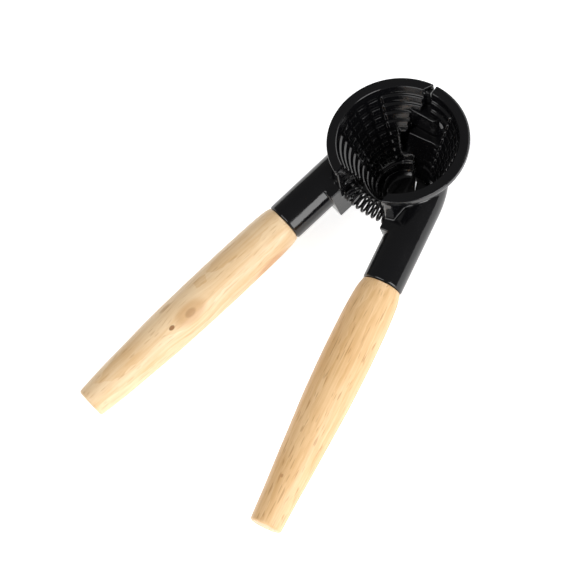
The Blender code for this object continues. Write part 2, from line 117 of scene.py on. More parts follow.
LEFT_TAIL = ((-8.0, 8.5), (7.0, 8.0), (7.5, 9.5), (2.0, 17.5), (-6.0, 17.5))
RIGHT_FOOT = 3.4
RIGHT_LEAF = (((9.0, 7.6), (0.4, 7.6), (3.3, 1.9), (12.0, 1.9), (12.0, 3.5)),
              ((12.0, -3.5), (12.0, 2.0), (3.25, 2.0), (2.6, -4.0), (4.6, -7.8), (9.0, -7.8)))
RIGHT_LEAF_TOP = 5.9
HINGE_BOSS = ((-5.4, 12.0), (-5.4, 28.9), (-9.5, 28.2), (-15.5, 21.5), (-15.5, 12.0))
HINGE_BOSS_HEIGHTS = (4.0, 47.2)
HINGE_EAR = ((-3.5, 26.4), (-3.5, 29.5), (-8.0, 28.7), (-8.0, 25.0))
HINGE_EAR_HEIGHTS = (37.1, 47.1)

# Arms, sockets and handles. Distances along an arm start beside the funnel's axis.
ARM_X = 16.5
ARM_DEPTH = 18.78
ARM_SPREAD = math.radians(11.06)
ARM_DIP = math.radians(8.70)
ARM_START = -9.0
ARM_NOSE = 22.0
ARM_LENGTH = 50.37
ARM_RADIUS = 8.78
SOCKET_RADIUS = 7.4
SOCKET_DEPTH = 19.4
HANDLE_LENGTH = 111.64
SPIGOT_RADIUS = 7.1
SPIGOT_LENGTH = 19.0
DOWEL_RADIUS = 2.5
DOWEL_BORE_RADIUS = 2.8
DOWEL_REACH_IN_JAW = 12.0
DOWEL_REACH_IN_HANDLE = 24.0
JOINT_GAP = 0.3
SEAT_OFFSET = 9.9
SEAT_WIDTH = 12.9
SEAT_START = 16.0
SEAT_REAR = 29.6
SEAT_TOP = 7.0
LEFT_SEAT_BOTTOM = 13.0
RIGHT_SEAT_BOTTOM = 8.3
SPRING_Y = -22.0
SPRING_Z = 27.0
PEG_RADIUS = 2.1
PEG_LENGTH = 3.4
PROFILES = {
    LEFT: ((0.3, 8.4), (1.8, 8.9), (5.1, 9.3), (12.4, 9.6), (26.5, 9.8), (40.6, 9.83),
           (55.2, 9.7), (69.3, 9.4), (83.4, 8.7), (97.5, 8.0), (109.5, 7.0), (111.1, 6.6)),
    RIGHT: ((0.3, 8.4), (2.4, 9.0), (6.1, 9.6), (13.4, 10.1), (20.6, 10.3), (35.2, 10.4),
            (53.4, 10.0), (68.0, 9.2), (82.6, 8.4), (97.0, 7.5), (109.5, 6.9), (111.1, 6.6)),
}

# Toothed part of each wall: first groove and groove pitch in degrees, number of columns, and
# how many more columns there are towards the hinge in the lower rings
TEETH = {LEFT: (147.0, 13.6, 4, 1), RIGHT: (63.5, -13.6, 6, 0)}
GROOVE_ANGLE = 4.6
FIRST_TOOTHED_RING = 1
FIRST_WIDE_RING = 5


# ---------------------------------------------------------------- shared helpers

def linear(code):
    """Linear colour of an sRGB hex value."""
    parts = [int(code[i:i + 2], 16) / 255.0 for i in (1, 3, 5)]
    return [c / 12.92 if c <= 0.04045 else ((c + 0.055) / 1.055) ** 2.4 for c in parts] + [1.0]


def put(tree, kind, at=(0, 0), inputs=None, **settings):
    """Add a node with its settings, and set or link its inputs."""
    node = tree.nodes.new(kind)
    node.location = at
    for key, value in settings.items():
        setattr(node, key, value)
    for key, value in (inputs or {}).items():
        if isinstance(value, bpy.types.NodeSocket):
            tree.links.new(value, node.inputs[key])
        else:
            node.inputs[key].default_value = value
    return node


def new_tree(name, sizes):
    """A geometry tree with a geometry input and named number inputs."""
    tree = bpy.data.node_groups.new(name, "GeometryNodeTree")
    tree.interface.new_socket("Geometry", in_out="INPUT", socket_type="NodeSocketGeometry")
    for label, value in sizes.items():
        kind = "NodeSocketInt" if isinstance(value, int) else "NodeSocketFloat"
        tree.interface.new_socket(label, in_out="INPUT", socket_type=kind).default_value = value
    tree.interface.new_socket("Material", in_out="INPUT", socket_type="NodeSocketMaterial")
    tree.interface.new_socket("Geometry", in_out="OUTPUT", socket_type="NodeSocketGeometry")
    return tree


def run_tree(tree, name, source, values):
    """Run a geometry tree on a mesh and return its result as a plain mesh object."""
    carrier = bpy.data.objects.new(name, source)
    bpy.context.scene.collection.objects.link(carrier)
    step = carrier.modifiers.new("shape", "NODES")
    step.node_group = tree
    for item in tree.interface.items_tree:
        if item.item_type == "SOCKET" and item.in_out == "INPUT" and item.name in values:
            step[item.identifier] = values[item.name]
    graph = bpy.context.evaluated_depsgraph_get()
    result = bpy.data.meshes.new_from_object(carrier.evaluated_get(graph))
    carrier.modifiers.clear()
    carrier.data = result
    result.name = name
    return carrier


def finish_tree(tree, geometry, material):
    """Realize, give the material, and join to the output."""
    real = put(tree, "GeometryNodeRealizeInstances", (900, 0), {"Geometry": geometry})
    painted = put(tree, "GeometryNodeSetMaterial", (1080, 0),
                  {"Geometry": real.outputs[0], "Material": material})
    put(tree, "NodeGroupOutput", (1260, 0), {"Geometry": painted.outputs[0]})


def mesh_object(name, points, faces, material):
    """An object of points in millimetres in the funnel's frame."""
    mesh = bpy.data.meshes.new(name)
    mesh.from_pydata((np.asarray(points) * MM + FOOT).tolist(), [], faces)
    made = bpy.data.objects.new(name, mesh)
    bpy.context.scene.collection.objects.link(made)
    mesh.materials.append(material)
    mesh.shade_smooth()
    return made


def close_seams(made):
    """Merge doubles and turn every face outwards."""
    shape = bmesh.new()
    shape.from_mesh(made.data)
    bmesh.ops.remove_doubles(shape, verts=shape.verts, dist=1e-7)
    bmesh.ops.recalc_face_normals(shape, faces=shape.faces)
    shape.to_mesh(made.data)
    shape.free()


def join(name, parts):
    """One object of several, under a new name."""
    for part in bpy.context.selected_objects:
        part.select_set(False)
    for part in parts:
        part.select_set(True)
    bpy.context.view_layer.objects.active = parts[0]
    bpy.ops.object.join()
    parts[0].name = name
    return parts[0]


def arm_frame(side):
    """Local Z runs out along the arm, local X points at the other arm, local Y is up."""
    out = Vector((side * math.sin(ARM_SPREAD) * math.cos(ARM_DIP),
                  -math.cos(ARM_SPREAD) * math.cos(ARM_DIP), -math.sin(ARM_DIP)))
    inward = Vector((-side * math.cos(ARM_SPREAD), -math.sin(ARM_SPREAD), 0.0))
    up = out.cross(inward)
    if up.z < 0.0:
        up = -up
    start = Vector((side * ARM_X, 0.0, FUNNEL_HEIGHT - ARM_DEPTH))
    place = Matrix.Identity(4)
    for column, axis in enumerate((inward, up, out, start)):
        for row in range(3):
            place[row][column] = axis[row]
    return place


def wall_radius(depth):
    """Inner radius of the funnel at depths below the rim plane."""
    start = MOUTH_RADIUS - WALL_SLOPE * BOWL_DEPTH
    part = np.clip((depth - BOWL_DEPTH) / (FUNNEL_HEIGHT - BOTTOM_THICKNESS - BOWL_DEPTH),
                   0.0, 1.0)
    turned = start + (BOTTOM_RADIUS - start) * part * part
    return np.where(depth < BOWL_DEPTH, MOUTH_RADIUS - WALL_SLOPE * depth, turned)


# ---------------------------------------------------------------- solid by distance

def blend_union(a, b, k):
    h = np.clip(0.5 + 0.5 * (b - a) / k, 0.0, 1.0)
    return b + (a - b) * h - k * h * (1.0 - h)


def blend_common(a, b, k):
    return -blend_union(-a, -b, k)


def slab(value, low, high):
    return np.maximum(low - value, value - high)


def rounded(a, b, edge):
    """Common part of two distances with an edge of a set radius."""
    outside = np.hypot(np.maximum(a + edge, 0.0), np.maximum(b + edge, 0.0))
    return outside + np.minimum(np.maximum(a, b) + edge, 0.0) - edge


def hull(points):
    """Convex outline of points in plan, anticlockwise."""
    ordered = sorted(set(points))

    def half(sequence):
        chain = []
        for x, y in sequence:
            while len(chain) > 1:
                (ax, ay), (bx, by) = chain[-2:]
                if (bx - ax) * (y - ay) - (by - ay) * (x - ax) > 0.0:
                    break
                chain.pop()
            chain.append((x, y))
        return chain[:-1]

    return half(ordered) + half(ordered[::-1])


def inside_outline(x, y, outline):
    """Distance in plan to a convex outline."""
    far = None
    for (ax, ay), (bx, by) in zip(outline, outline[1:] + outline[:1]):
        length = math.hypot(bx - ax, by - ay)
        away = ((by - ay) * (x - ax) - (bx - ax) * (y - ay)) / length
        far = away if far is None else np.maximum(far, away)
    return far


def ring_points(radius, count=20):
    return [(radius * math.cos(math.tau * i / count),
             HINGE_Y + radius * math.sin(math.tau * i / count)) for i in range(count)]


def tongue_outline():
    return hull(ring_points(KNUCKLE_RADIUS - 0.05)
                + [(-8.4, 11.2), (-8.4, 19.0), (8.0, 12.5), (10.5, 18.5)])


def swept_outline():
    """Plan of the space that the tongue needs inside the left jaw as the jaws close."""
    points = []
    for step in range(4):
        angle = -CLOSING_ANGLE * step / 3.0
        for x, y in tongue_outline():
            points.append((x * math.cos(angle) - (y - HINGE_Y) * math.sin(angle) - 0.5,
                           HINGE_Y + x * math.sin(angle) + (y - HINGE_Y) * math.cos(angle)))
    return hull(points + ring_points(KNUCKLE_RADIUS + 0.5))


def split_distance(x, y, split, side):
    """Distance from the split, less than zero on the jaw's own side."""
    ys = [point[1] for point in split[::-1]]
    xs = [point[0] for point in split[::-1]]
    edge = np.interp(y, ys, xs)
    slope = (np.interp(y + 0.5, ys, xs) - np.interp(y - 0.5, ys, xs))
    return side * (edge - x) / np.sqrt(1.0 + slope * slope)


def knuckle(x, y, z, heights, corners):
    """Barrel round the hinge with a web that joins it to the wall."""
    barrel = np.hypot(x, y - HINGE_Y) - KNUCKLE_RADIUS
    web = inside_outline(x, y, hull(ring_points(KNUCKLE_RADIUS - 0.05) + corners))
    return rounded(blend_union(barrel, web, 0.3), slab(z, *heights), 0.35)


def step_between(value, low, high):
    part = np.clip((value - low) / (high - low), 0.0, 1.0)
    return part * part * (3.0 - 2.0 * part)


def toothed(angle, depth, side, jaw):
    """One where the wall is cut back to let separate teeth stand on it."""
    first, pitch, columns, more = TEETH[side]
    turn = math.copysign(1.0, pitch)
    along = turn * (angle - first)
    along = (along + 180.0) % 360.0 - 180.0
    ring = (depth - jaw["ring_start"]) / jaw["ring_pitch"]
    wide = step_between(ring, FIRST_WIDE_RING - 0.2, FIRST_WIDE_RING - 0.12)
    start = -0.5 * GROOVE_ANGLE - abs(pitch) * more * wide
    end = abs(pitch) * columns + 0.5 * GROOVE_ANGLE
    soft = 0.8
    across = step_between(along, start - soft, start + soft)
    across = across * (1.0 - step_between(along, end - soft, end + soft))
    begin = FIRST_TOOTHED_RING - 0.2
    return across * step_between(ring, begin, begin + 0.1) * (ring < jaw["ring_count"])


def relief(angle, depth, side, jaw):
    """How far the wall lies behind the tops of its rings."""
    place = np.mod(depth - jaw["ring_start"], jaw["ring_pitch"])
    flank = 0.35
    valley = step_between(place, jaw["ring_land"] - 0.1, jaw["ring_land"] + flank)
    valley = valley * (1.0 - step_between(place, jaw["ring_pitch"] - flank, jaw["ring_pitch"]))
    ring = (depth - jaw["ring_start"]) / jaw["ring_pitch"]
    valley = np.where((ring < 0.0) | (ring > jaw["ring_count"]), 0.0, valley)
    return jaw["ring_height"] * np.maximum(valley, toothed(angle, depth, side, jaw))


def jaw_field(points, side, jaw):
    """Distance to one casting, less than zero inside it."""
    x, y, z = points[:, 0], points[:, 1], points[:, 2]
    r = np.hypot(x, y)
    depth = FUNNEL_HEIGHT - z
    lean = 1.0 / math.sqrt(1.0 + WALL_SLOPE ** 2)
    outer = np.interp(depth, [0.0, BOWL_DEPTH, FUNNEL_HEIGHT - 0.8, FUNNEL_HEIGHT],
                      [MOUTH_RADIUS + WALL_THICKNESS, 13.96, FOOT_RADIUS + 0.6, FOOT_RADIUS])
    wall = rounded((r - outer) * lean, -z, 0.5)
    middle = FUNNEL_HEIGHT - FLANGE_THICKNESS / 2.0
    flange = rounded(r - RIM_RADIUS, np.abs(z - middle) - FLANGE_THICKNESS / 2.0, 0.75)
    body = blend_union(np.maximum(wall, z - FUNNEL_HEIGHT + 0.5), flange, 1.8)
    body = np.maximum(body, z - FUNNEL_HEIGHT)

    place = arm_frame(side)
    local = np.asarray(place.inverted())
    u, v, t = (points @ local[i, :3] + local[i, 3] for i in range(3))
    s = np.hypot(u, v)
    nose = np.clip(1.0 - (t - ARM_START) / ARM_NOSE, 0.0, 1.0)
    radius = ARM_RADIUS * np.sqrt(np.maximum(1.0 - nose * nose, 0.0))
    arm = rounded(s - radius, t - ARM_LENGTH, 0.9)
    arm = np.where(t < ARM_START, ARM_START - t + 1.0, arm)
    body = blend_union(body, arm, 1.4)
    kept = split_distance(x, y, LEFT_SPLIT if side < 0 else RIGHT_SPLIT, side)
    if side < 0:
        lower = np.maximum(split_distance(x, y, LEFT_LOWER_SPLIT, side), z - LOWER_SPLIT_TOP)
        kept = np.minimum(kept, np.maximum(lower, LEFT_LOWER_SPLIT[-1][1] - y))
    body = blend_common(body, kept, 0.45)
    if side < 0:
        boss = rounded(inside_outline(x, y, hull(HINGE_BOSS)), slab(z, *HINGE_BOSS_HEIGHTS), 0.4)
        ear = rounded(inside_outline(x, y, hull(HINGE_EAR)), slab(z, *HINGE_EAR_HEIGHTS), 0.3)
        body = blend_union(body, np.minimum(boss, ear), 0.6)

    bottom = LEFT_SEAT_BOTTOM if side < 0 else RIGHT_SEAT_BOTTOM
    block = rounded(slab(u, SEAT_OFFSET - SEAT_WIDTH, SEAT_OFFSET),
                    rounded(slab(v, -bottom, SEAT_TOP), slab(t, SEAT_START, SEAT_REAR), 0.5),
                    0.5)
    body = blend_union(body, block, 0.8)
    rib = inside_outline(side * x, y, [(11.8, -15.0), (11.8, -26.6), (15.6, -25.2), (17.0, -15.0)])
    body = blend_union(body, rounded(rib, slab(depth, 1.0, 22.0), 0.4), 0.8)

    angle = np.degrees(np.arctan2(y, x))
    inner = (r - wall_radius(depth) - relief(angle, depth, side, jaw)) * lean
    body = blend_common(body, -np.maximum(inner, BOTTOM_THICKNESS - z), 0.35)

    seat = seat_point(side)
    inward = place.col[0].xyz
    from_seat = points - np.array(seat)
    reach = from_seat @ np.array(inward)
    off = np.linalg.norm(from_seat - np.outer(reach, np.array(inward)), axis=1)
    peg = rounded(off - PEG_RADIUS + 0.08 * np.maximum(reach, 0.0), slab(reach, -2.0, PEG_LENGTH),
                  0.5)
    body = blend_union(body, peg, 0.3)
    socket = rounded(s - SOCKET_RADIUS, ARM_LENGTH - SOCKET_DEPTH - t, 0.4)
    dowel_end = ARM_LENGTH - SOCKET_DEPTH - DOWEL_REACH_IN_JAW - JOINT_GAP
    socket = np.minimum(socket, np.maximum(s - DOWEL_BORE_RADIUS, dowel_end - t))
    body = blend_common(body, -socket, 0.3)
    if side < 0:
        near, far = (inside_outline(x, y, hull(leaf)) for leaf in (LEFT_LEAF, LEFT_TAIL))
        leaf = rounded(np.minimum(near, far), slab(z, 0.0, BOTTOM_THICKNESS), 0.4)
        body = blend_union(body, leaf, 0.4)
        notch = np.maximum(slab(x, *NOTCH[0]), np.maximum(slab(y, *NOTCH[1]), slab(z, *NOTCH[2])))
        body = blend_common(body, -notch, 0.3)
        pocket = rounded(slab(x, -9.2, 0.4),
                         rounded(slab(y, 10.0, 34.0),
                                 slab(z, UPPER_KNUCKLE[0] - KNUCKLE_GAP,
                                      UPPER_KNUCKLE[1] + KNUCKLE_GAP), 0.3), 0.3)
        body = blend_common(body, -pocket, 0.35)
        sweep = np.maximum(inside_outline(x, y, swept_outline()),
                           slab(z, TONGUE[0] - KNUCKLE_GAP, TONGUE[1] + KNUCKLE_GAP))
        body = blend_common(body, -sweep, 0.35)
        upper = knuckle(x, y, z, UPPER_KNUCKLE, [(-13.5, 19.5), (-12.5, 23.5)])
        lower = knuckle(x, y, z, LOWER_KNUCKLE, [(-10.5, 10.5), (-6.6, 12.8)])
        body = blend_union(body, np.minimum(upper, lower), 0.5)
        bore = np.maximum(np.hypot(x, y - HINGE_Y) - PIN_BORE_RADIUS,
                          slab(z, 0.0, UPPER_KNUCKLE[1] - 1.5))
    else:
        body = blend_common(body, RIGHT_FOOT - z, 0.4)
        near, far = (inside_outline(x, y, hull(leaf)) for leaf in RIGHT_LEAF)
        leaf = rounded(np.minimum(near, far), slab(z, RIGHT_FOOT, RIGHT_LEAF_TOP), 0.4)
        body = blend_union(body, leaf, 0.4)
        pocket = rounded(slab(x, -4.0, 6.6),
                         rounded(slab(y, 10.0, 40.0),
                                 slab(z, TONGUE[1] - 0.1, UPPER_KNUCKLE[1] + KNUCKLE_GAP), 0.3),
                         0.3)
        body = blend_common(body, -pocket, 0.35)
        lean_angle = math.atan(WALL_SLOPE)
        turn = math.atan(0.14)
        front = Vector((0.0, -math.cos(lean_angle), math.sin(lean_angle)))
        front.rotate(Matrix.Rotation(turn, 3, "Z"))
        ahead = (points - np.array([0.0, 16.6, TONGUE[1]])) @ np.array(front)
        tongue = rounded(inside_outline(x, y, tongue_outline()), slab(z, *TONGUE), 0.35)
        tongue = np.minimum(tongue, rounded(np.hypot(x, y - HINGE_Y) - KNUCKLE_RADIUS,
                                            slab(z, *TONGUE), 0.35))
        tongue = blend_common(tongue, ahead, 0.35)
        body = blend_union(body, tongue, 0.4)
        bore = np.maximum(np.hypot(x, y - HINGE_Y) - PIN_BORE_RADIUS,
                          slab(z, TONGUE[0] - 1.0, TONGUE[1] + 1.0))
    return blend_common(body, -bore, 0.25)


def seat_point(side):
    """Where the spring's axis meets the seat's face."""
    place = arm_frame(side)
    inward = place.col[0].xyz
    start = place.col[3].xyz
    middle = Vector((0.0, SPRING_Y, SPRING_Z))
    reach = (SEAT_OFFSET - (middle - start).dot(inward)) / inward.x
    return middle + Vector((reach, 0.0, 0.0))


def grid_values(field, axes):
    """Values of the field on a grid, one slice at a time."""
    across, up = np.meshgrid(axes[1], axes[2], indexing="ij")
    values = np.empty([len(axis) for axis in axes])
    for i, x in enumerate(axes[0]):
        points = np.column_stack([np.full(across.size, x), across.ravel(), up.ravel()])
        values[i] = field(points).reshape(across.shape)
    return values


def skin(field, low, high, cell):
    """Closed skin where the field is zero, with one point for each cell that it crosses."""
    axes = [np.arange(a - 2.0 * cell, b + 2.5 * cell, cell) for a, b in zip(low, high)]
    values = grid_values(field, axes)
    inside = values < 0.0
    shape = [len(axis) - 1 for axis in axes]
    corners = [(i, j, k) for i in (0, 1) for j in (0, 1) for k in (0, 1)]
    cut = [tuple(slice(c, c + n) for c, n in zip(corner, shape)) for corner in corners]
    count = sum(inside[c].astype(np.int8) for c in cut)
    active = (count > 0) & (count < 8)
    number = np.full(shape, -1)
    number[active] = np.arange(active.sum())
    at = np.argwhere(active)
    total = np.zeros((len(at), 3))
    crossings = np.zeros(len(at))
    for a in corners:
        for axis in range(3):
            if a[axis]:
                continue
            b = tuple(c + (n == axis) for n, c in enumerate(a))
            va = values[tuple((at + a).T)]
            vb = values[tuple((at + b).T)]
            crossed = (va < 0.0) != (vb < 0.0)
            share = np.where(crossed, va / np.where(crossed, va - vb, 1.0), 0.0)
            point = at + np.array(a, float)
            point[:, axis] += share
            total += point * crossed[:, None]
            crossings += crossed
    points = total / crossings[:, None] * cell + np.array([axis[0] for axis in axes])
    faces = []
    for axis in range(3):
        one, two = (axis + 1) % 3, (axis + 2) % 3
        step = np.eye(3, dtype=int)[axis]
        last = [n + 1 for n in shape]
        last[axis] -= 1
        low_cut = tuple(slice(0, n) for n in last)
        high_cut = tuple(slice(s, n + s) for s, n in zip(step, last))
        change = inside[low_cut] != inside[high_cut]
        edges = np.argwhere(change)
        starts_inside = inside[tuple(edges.T)]
        a = edges.copy()
        b = edges.copy()
        b[:, one] -= 1
        c = b.copy()
        c[:, two] -= 1
        d = edges.copy()
        d[:, two] -= 1
        quad = np.column_stack([number[tuple(corner.T)] for corner in (a, b, c, d)])
        quad[~starts_inside] = quad[~starts_inside][:, ::-1]
        faces.append(quad)
    return settle(points, np.vstack(faces), field, cell)


def settle(points, faces, field, cell):
    """Even out the points and bring them back onto the surface."""
    ends = np.vstack([faces[:, [i, (i + 1) % 4]] for i in range(4)])
    degree = np.bincount(ends.ravel(), minlength=len(points))
    for relax in (0.0, 0.5, 0.4, 0.0):
        if relax:
            mean = np.zeros_like(points)
            for column in range(3):
                mean[:, column] = (np.bincount(ends[:, 0], points[ends[:, 1], column], len(points))
                                   + np.bincount(ends[:, 1], points[ends[:, 0], column],
                                                 len(points))) / degree
            points = points + relax * (mean - points)
        value = field(points)
        slope = np.empty_like(points)
        for column in range(3):
            probe = np.zeros(3)
            probe[column] = 0.04
            slope[:, column] = (field(points + probe) - field(points - probe)) / 0.08
        size = np.maximum((slope * slope).sum(axis=1), 0.25)
        move = -slope * (value / size)[:, None]
        length = np.linalg.norm(move, axis=1)
        move *= (np.minimum(length, 0.6 * cell) / np.maximum(length, 1e-9))[:, None]
        points = points + move
    return points, faces


# ---------------------------------------------------------------- materials

def new_material(name):
    made = bpy.data.materials.new(name)
    made.use_nodes = True
    made.node_tree.nodes.clear()
    return made


def gloss_enamel(colour):
    """Stove enamel on a zinc die casting: a deep gloss black with a faint orange peel."""
    made = new_material("stove_enamel_on_die_cast_zinc")
    tree = made.node_tree
    place = put(tree, "ShaderNodeTexCoord", (-900, 0))
    peel = put(tree, "ShaderNodeTexNoise", (-600, -200),
               {"Vector": place.outputs["Object"], "Scale": 420.0, "Detail": 2.0,
                "Roughness": 0.5})
    dust = put(tree, "ShaderNodeTexNoise", (-600, 120),
               {"Vector": place.outputs["Object"], "Scale": 90.0, "Detail": 4.0,
                "Roughness": 0.6})
    rough = put(tree, "ShaderNodeMapRange", (-350, 120),
                {"Value": dust.outputs["Fac"], "From Min": 0.3, "From Max": 0.75,
                 "To Min": 0.10, "To Max": 0.20})
    bump = put(tree, "ShaderNodeBump", (-350, -200),
               {"Height": peel.outputs["Fac"], "Strength": 0.12, "Distance": 0.0004})
    shader = put(tree, "ShaderNodeBsdfPrincipled", (0, 0),
                 {"Base Color": colour, "Roughness": rough.outputs["Result"], "IOR": 1.5,
                  "Normal": bump.outputs["Normal"]})
    put(tree, "ShaderNodeOutputMaterial", (300, 0), {"Surface": shader.outputs["BSDF"]})
    return made


def lacquered_beech(name, side, looks):
    """Turned beech under clear lacquer: pale straight grain with short darker pores."""
    made = new_material(name)
    tree = made.node_tree
    place = put(tree, "ShaderNodeTexCoord", (-2000, 0))
    axes = arm_frame(side)
    start = axes.translation * MM + Vector(FOOT)
    if side == RIGHT:
        axes = axes @ Matrix.Scale(-1.0, 4, (1.0, 0.0, 0.0))
    turn = axes.to_3x3().transposed().to_euler()
    moved = put(tree, "ShaderNodeVectorMath", (-1820, 0),
                {0: place.outputs["Object"], 1: tuple(start)}, operation="SUBTRACT")
    along = put(tree, "ShaderNodeMapping", (-1640, 0),
                {"Vector": moved.outputs[0], "Rotation": tuple(turn)})
    away = put(tree, "ShaderNodeVectorMath", (-1460, -260),
               {0: along.outputs[0], 1: looks["knot"]}, operation="SUBTRACT")
    oval = put(tree, "ShaderNodeVectorMath", (-1300, -260),
               {0: away.outputs[0], 1: (1.0, 1.0, 0.62)}, operation="MULTIPLY")
    reach = put(tree, "ShaderNodeVectorMath", (-1140, -260), {0: oval.outputs[0]},
                operation="LENGTH")
    near = put(tree, "ShaderNodeMapRange", (-980, -260),
               {"Value": reach.outputs["Value"], "From Min": 0.0, "From Max": 0.013,
                "To Min": looks["knot_pull"], "To Max": 0.0},
               interpolation_type="SMOOTHERSTEP")
    pushed = put(tree, "ShaderNodeVectorMath", (-820, -160),
                 {0: away.outputs[0], "Scale": near.outputs["Result"]}, operation="SCALE")
    bent = put(tree, "ShaderNodeVectorMath", (-660, 0),
               {0: along.outputs[0], 1: pushed.outputs[0]}, operation="SUBTRACT")
    # Growth rings about 2.5 mm apart, cut at a slant so that they run into long arches
    slanted = put(tree, "ShaderNodeMapping", (-480, 300),
                  {"Vector": bent.outputs[0], "Location": looks["pith"],
                   "Rotation": (0.055, -0.04, 0.0)})
    rings = put(tree, "ShaderNodeTexWave", (-300, 300),
                {"Vector": slanted.outputs[0], "Scale": 62.0, "Distortion": 3.2,
                 "Detail": 2.0, "Detail Scale": 1.2, "Detail Roughness": 0.55},
                wave_type="RINGS", rings_direction="Z", wave_profile="SAW")
    # Fibres about 0.25 mm wide and many times as long
    fibre_place = put(tree, "ShaderNodeMapping", (-480, 40),
                      {"Vector": bent.outputs[0], "Scale": (1.0, 1.0, 0.035)})
    fibres = put(tree, "ShaderNodeTexNoise", (-300, 40),
                 {"Vector": fibre_place.outputs[0], "Scale": 900.0, "Detail": 3.0,
                  "Roughness": 0.6})
    # Pores: dark dashes about 0.3 mm wide and 2 to 4 mm long
    pore_place = put(tree, "ShaderNodeMapping", (-480, -220),
                     {"Vector": bent.outputs[0], "Scale": (1.0, 1.0, 0.10)})
    pores = put(tree, "ShaderNodeTexNoise", (-300, -220),
                {"Vector": pore_place.outputs[0], "Scale": 1500.0, "Detail": 0.0})
    pore = put(tree, "ShaderNodeMapRange", (-120, -220),
               {"Value": pores.outputs["Fac"], "From Min": 0.66, "From Max": 0.76,
                "To Min": 0.0, "To Max": looks["pores"]})
    blotches = put(tree, "ShaderNodeTexNoise", (-300, 560),
                   {"Vector": along.outputs[0], "Scale": 42.0, "Detail": 3.0,
                    "Roughness": 0.55})
    ringed = put(tree, "ShaderNodeMapRange", (-120, 300),
                 {"Value": rings.outputs["Fac"], "From Min": 0.0, "From Max": 1.0,
                  "To Min": 0.0, "To Max": looks["rings"]})
    fibred = put(tree, "ShaderNodeMapRange", (-120, 40),
                 {"Value": fibres.outputs["Fac"], "From Min": 0.35, "From Max": 0.65,
                  "To Min": 0.0, "To Max": looks["fibres"]})
    blotched = put(tree, "ShaderNodeMapRange", (-120, 560),
                   {"Value": blotches.outputs["Fac"], "From Min": 0.38, "From Max": 0.66,
                    "To Min": 0.0, "To Max": looks["blotches"]})
    tone = put(tree, "ShaderNodeMath", (60, 300),
               {0: ringed.outputs["Result"], 1: fibred.outputs["Result"]}, operation="ADD")
    tone = put(tree, "ShaderNodeMath", (220, 300),
               {0: tone.outputs[0], 1: blotched.outputs["Result"]}, operation="ADD",
               use_clamp=True)
    wood = put(tree, "ShaderNodeMix", (380, 200),
               {0: tone.outputs[0], 6: looks["pale"], 7: looks["dark"]}, data_type="RGBA")
    last = put(tree, "ShaderNodeMix", (560, 200),
               {0: pore.outputs["Result"], 6: wood.outputs[2], 7: looks["pore"]},
               data_type="RGBA")
    for spot, (centre, stretch, size, soft, strength, colour) in enumerate(looks["marks"]):
        off = put(tree, "ShaderNodeVectorMath", (-120, -500 - 200 * spot),
                  {0: along.outputs[0], 1: centre}, operation="SUBTRACT")
        shaped = put(tree, "ShaderNodeVectorMath", (40, -500 - 200 * spot),
                     {0: off.outputs[0], 1: stretch}, operation="MULTIPLY")
        length = put(tree, "ShaderNodeVectorMath", (200, -500 - 200 * spot),
                     {0: shaped.outputs[0]}, operation="LENGTH")
        ragged = put(tree, "ShaderNodeMath", (360, -500 - 200 * spot),
                     {0: fibres.outputs["Fac"], 1: 0.35 * size, 2: length.outputs["Value"]},
                     operation="MULTIPLY_ADD")
        share = put(tree, "ShaderNodeMapRange", (520, -500 - 200 * spot),
                    {"Value": ragged.outputs[0], "From Min": size * 1.17,
                     "From Max": size * 1.17 + soft, "To Min": strength, "To Max": 0.0},
                    interpolation_type="SMOOTHSTEP")
        last = put(tree, "ShaderNodeMix", (740 + 180 * spot, 200),
                   {0: share.outputs["Result"], 6: last.outputs[2], 7: colour},
                   data_type="RGBA")
    bump = put(tree, "ShaderNodeBump", (740, -200),
               {"Height": fibres.outputs["Fac"], "Strength": 0.10, "Distance": 0.0003})
    shader = put(tree, "ShaderNodeBsdfPrincipled", (1500, 100),
                 {"Base Color": last.outputs[2], "Roughness": 0.48, "IOR": 1.5,
                  "Normal": bump.outputs["Normal"], "Coat Weight": 0.35,
                  "Coat Roughness": 0.24})
    put(tree, "ShaderNodeOutputMaterial", (1800, 100), {"Surface": shader.outputs["BSDF"]})
    return made


def metal(name, colour, rough_low, rough_high, metallic, grit):
    """Steel with a finish of its own: how rough it is drifts a little over the surface."""
    made = new_material(name)
    tree = made.node_tree
    place = put(tree, "ShaderNodeTexCoord", (-800, 0))
    noise = put(tree, "ShaderNodeTexNoise", (-600, 0),
                {"Vector": place.outputs["Object"], "Scale": grit, "Detail": 3.0})
    rough = put(tree, "ShaderNodeMapRange", (-380, 60),
                {"Value": noise.outputs["Fac"], "From Min": 0.3, "From Max": 0.7,
                 "To Min": rough_low, "To Max": rough_high})
    bump = put(tree, "ShaderNodeBump", (-380, -160),
               {"Height": noise.outputs["Fac"], "Strength": 0.08, "Distance": 0.0001})
    shader = put(tree, "ShaderNodeBsdfPrincipled", (0, 0),
                 {"Base Color": colour, "Metallic": metallic,
                  "Roughness": rough.outputs["Result"], "Normal": bump.outputs["Normal"]})
    put(tree, "ShaderNodeOutputMaterial", (300, 0), {"Surface": shader.outputs["BSDF"]})
    return made


# ---------------------------------------------------------------- geometry trees

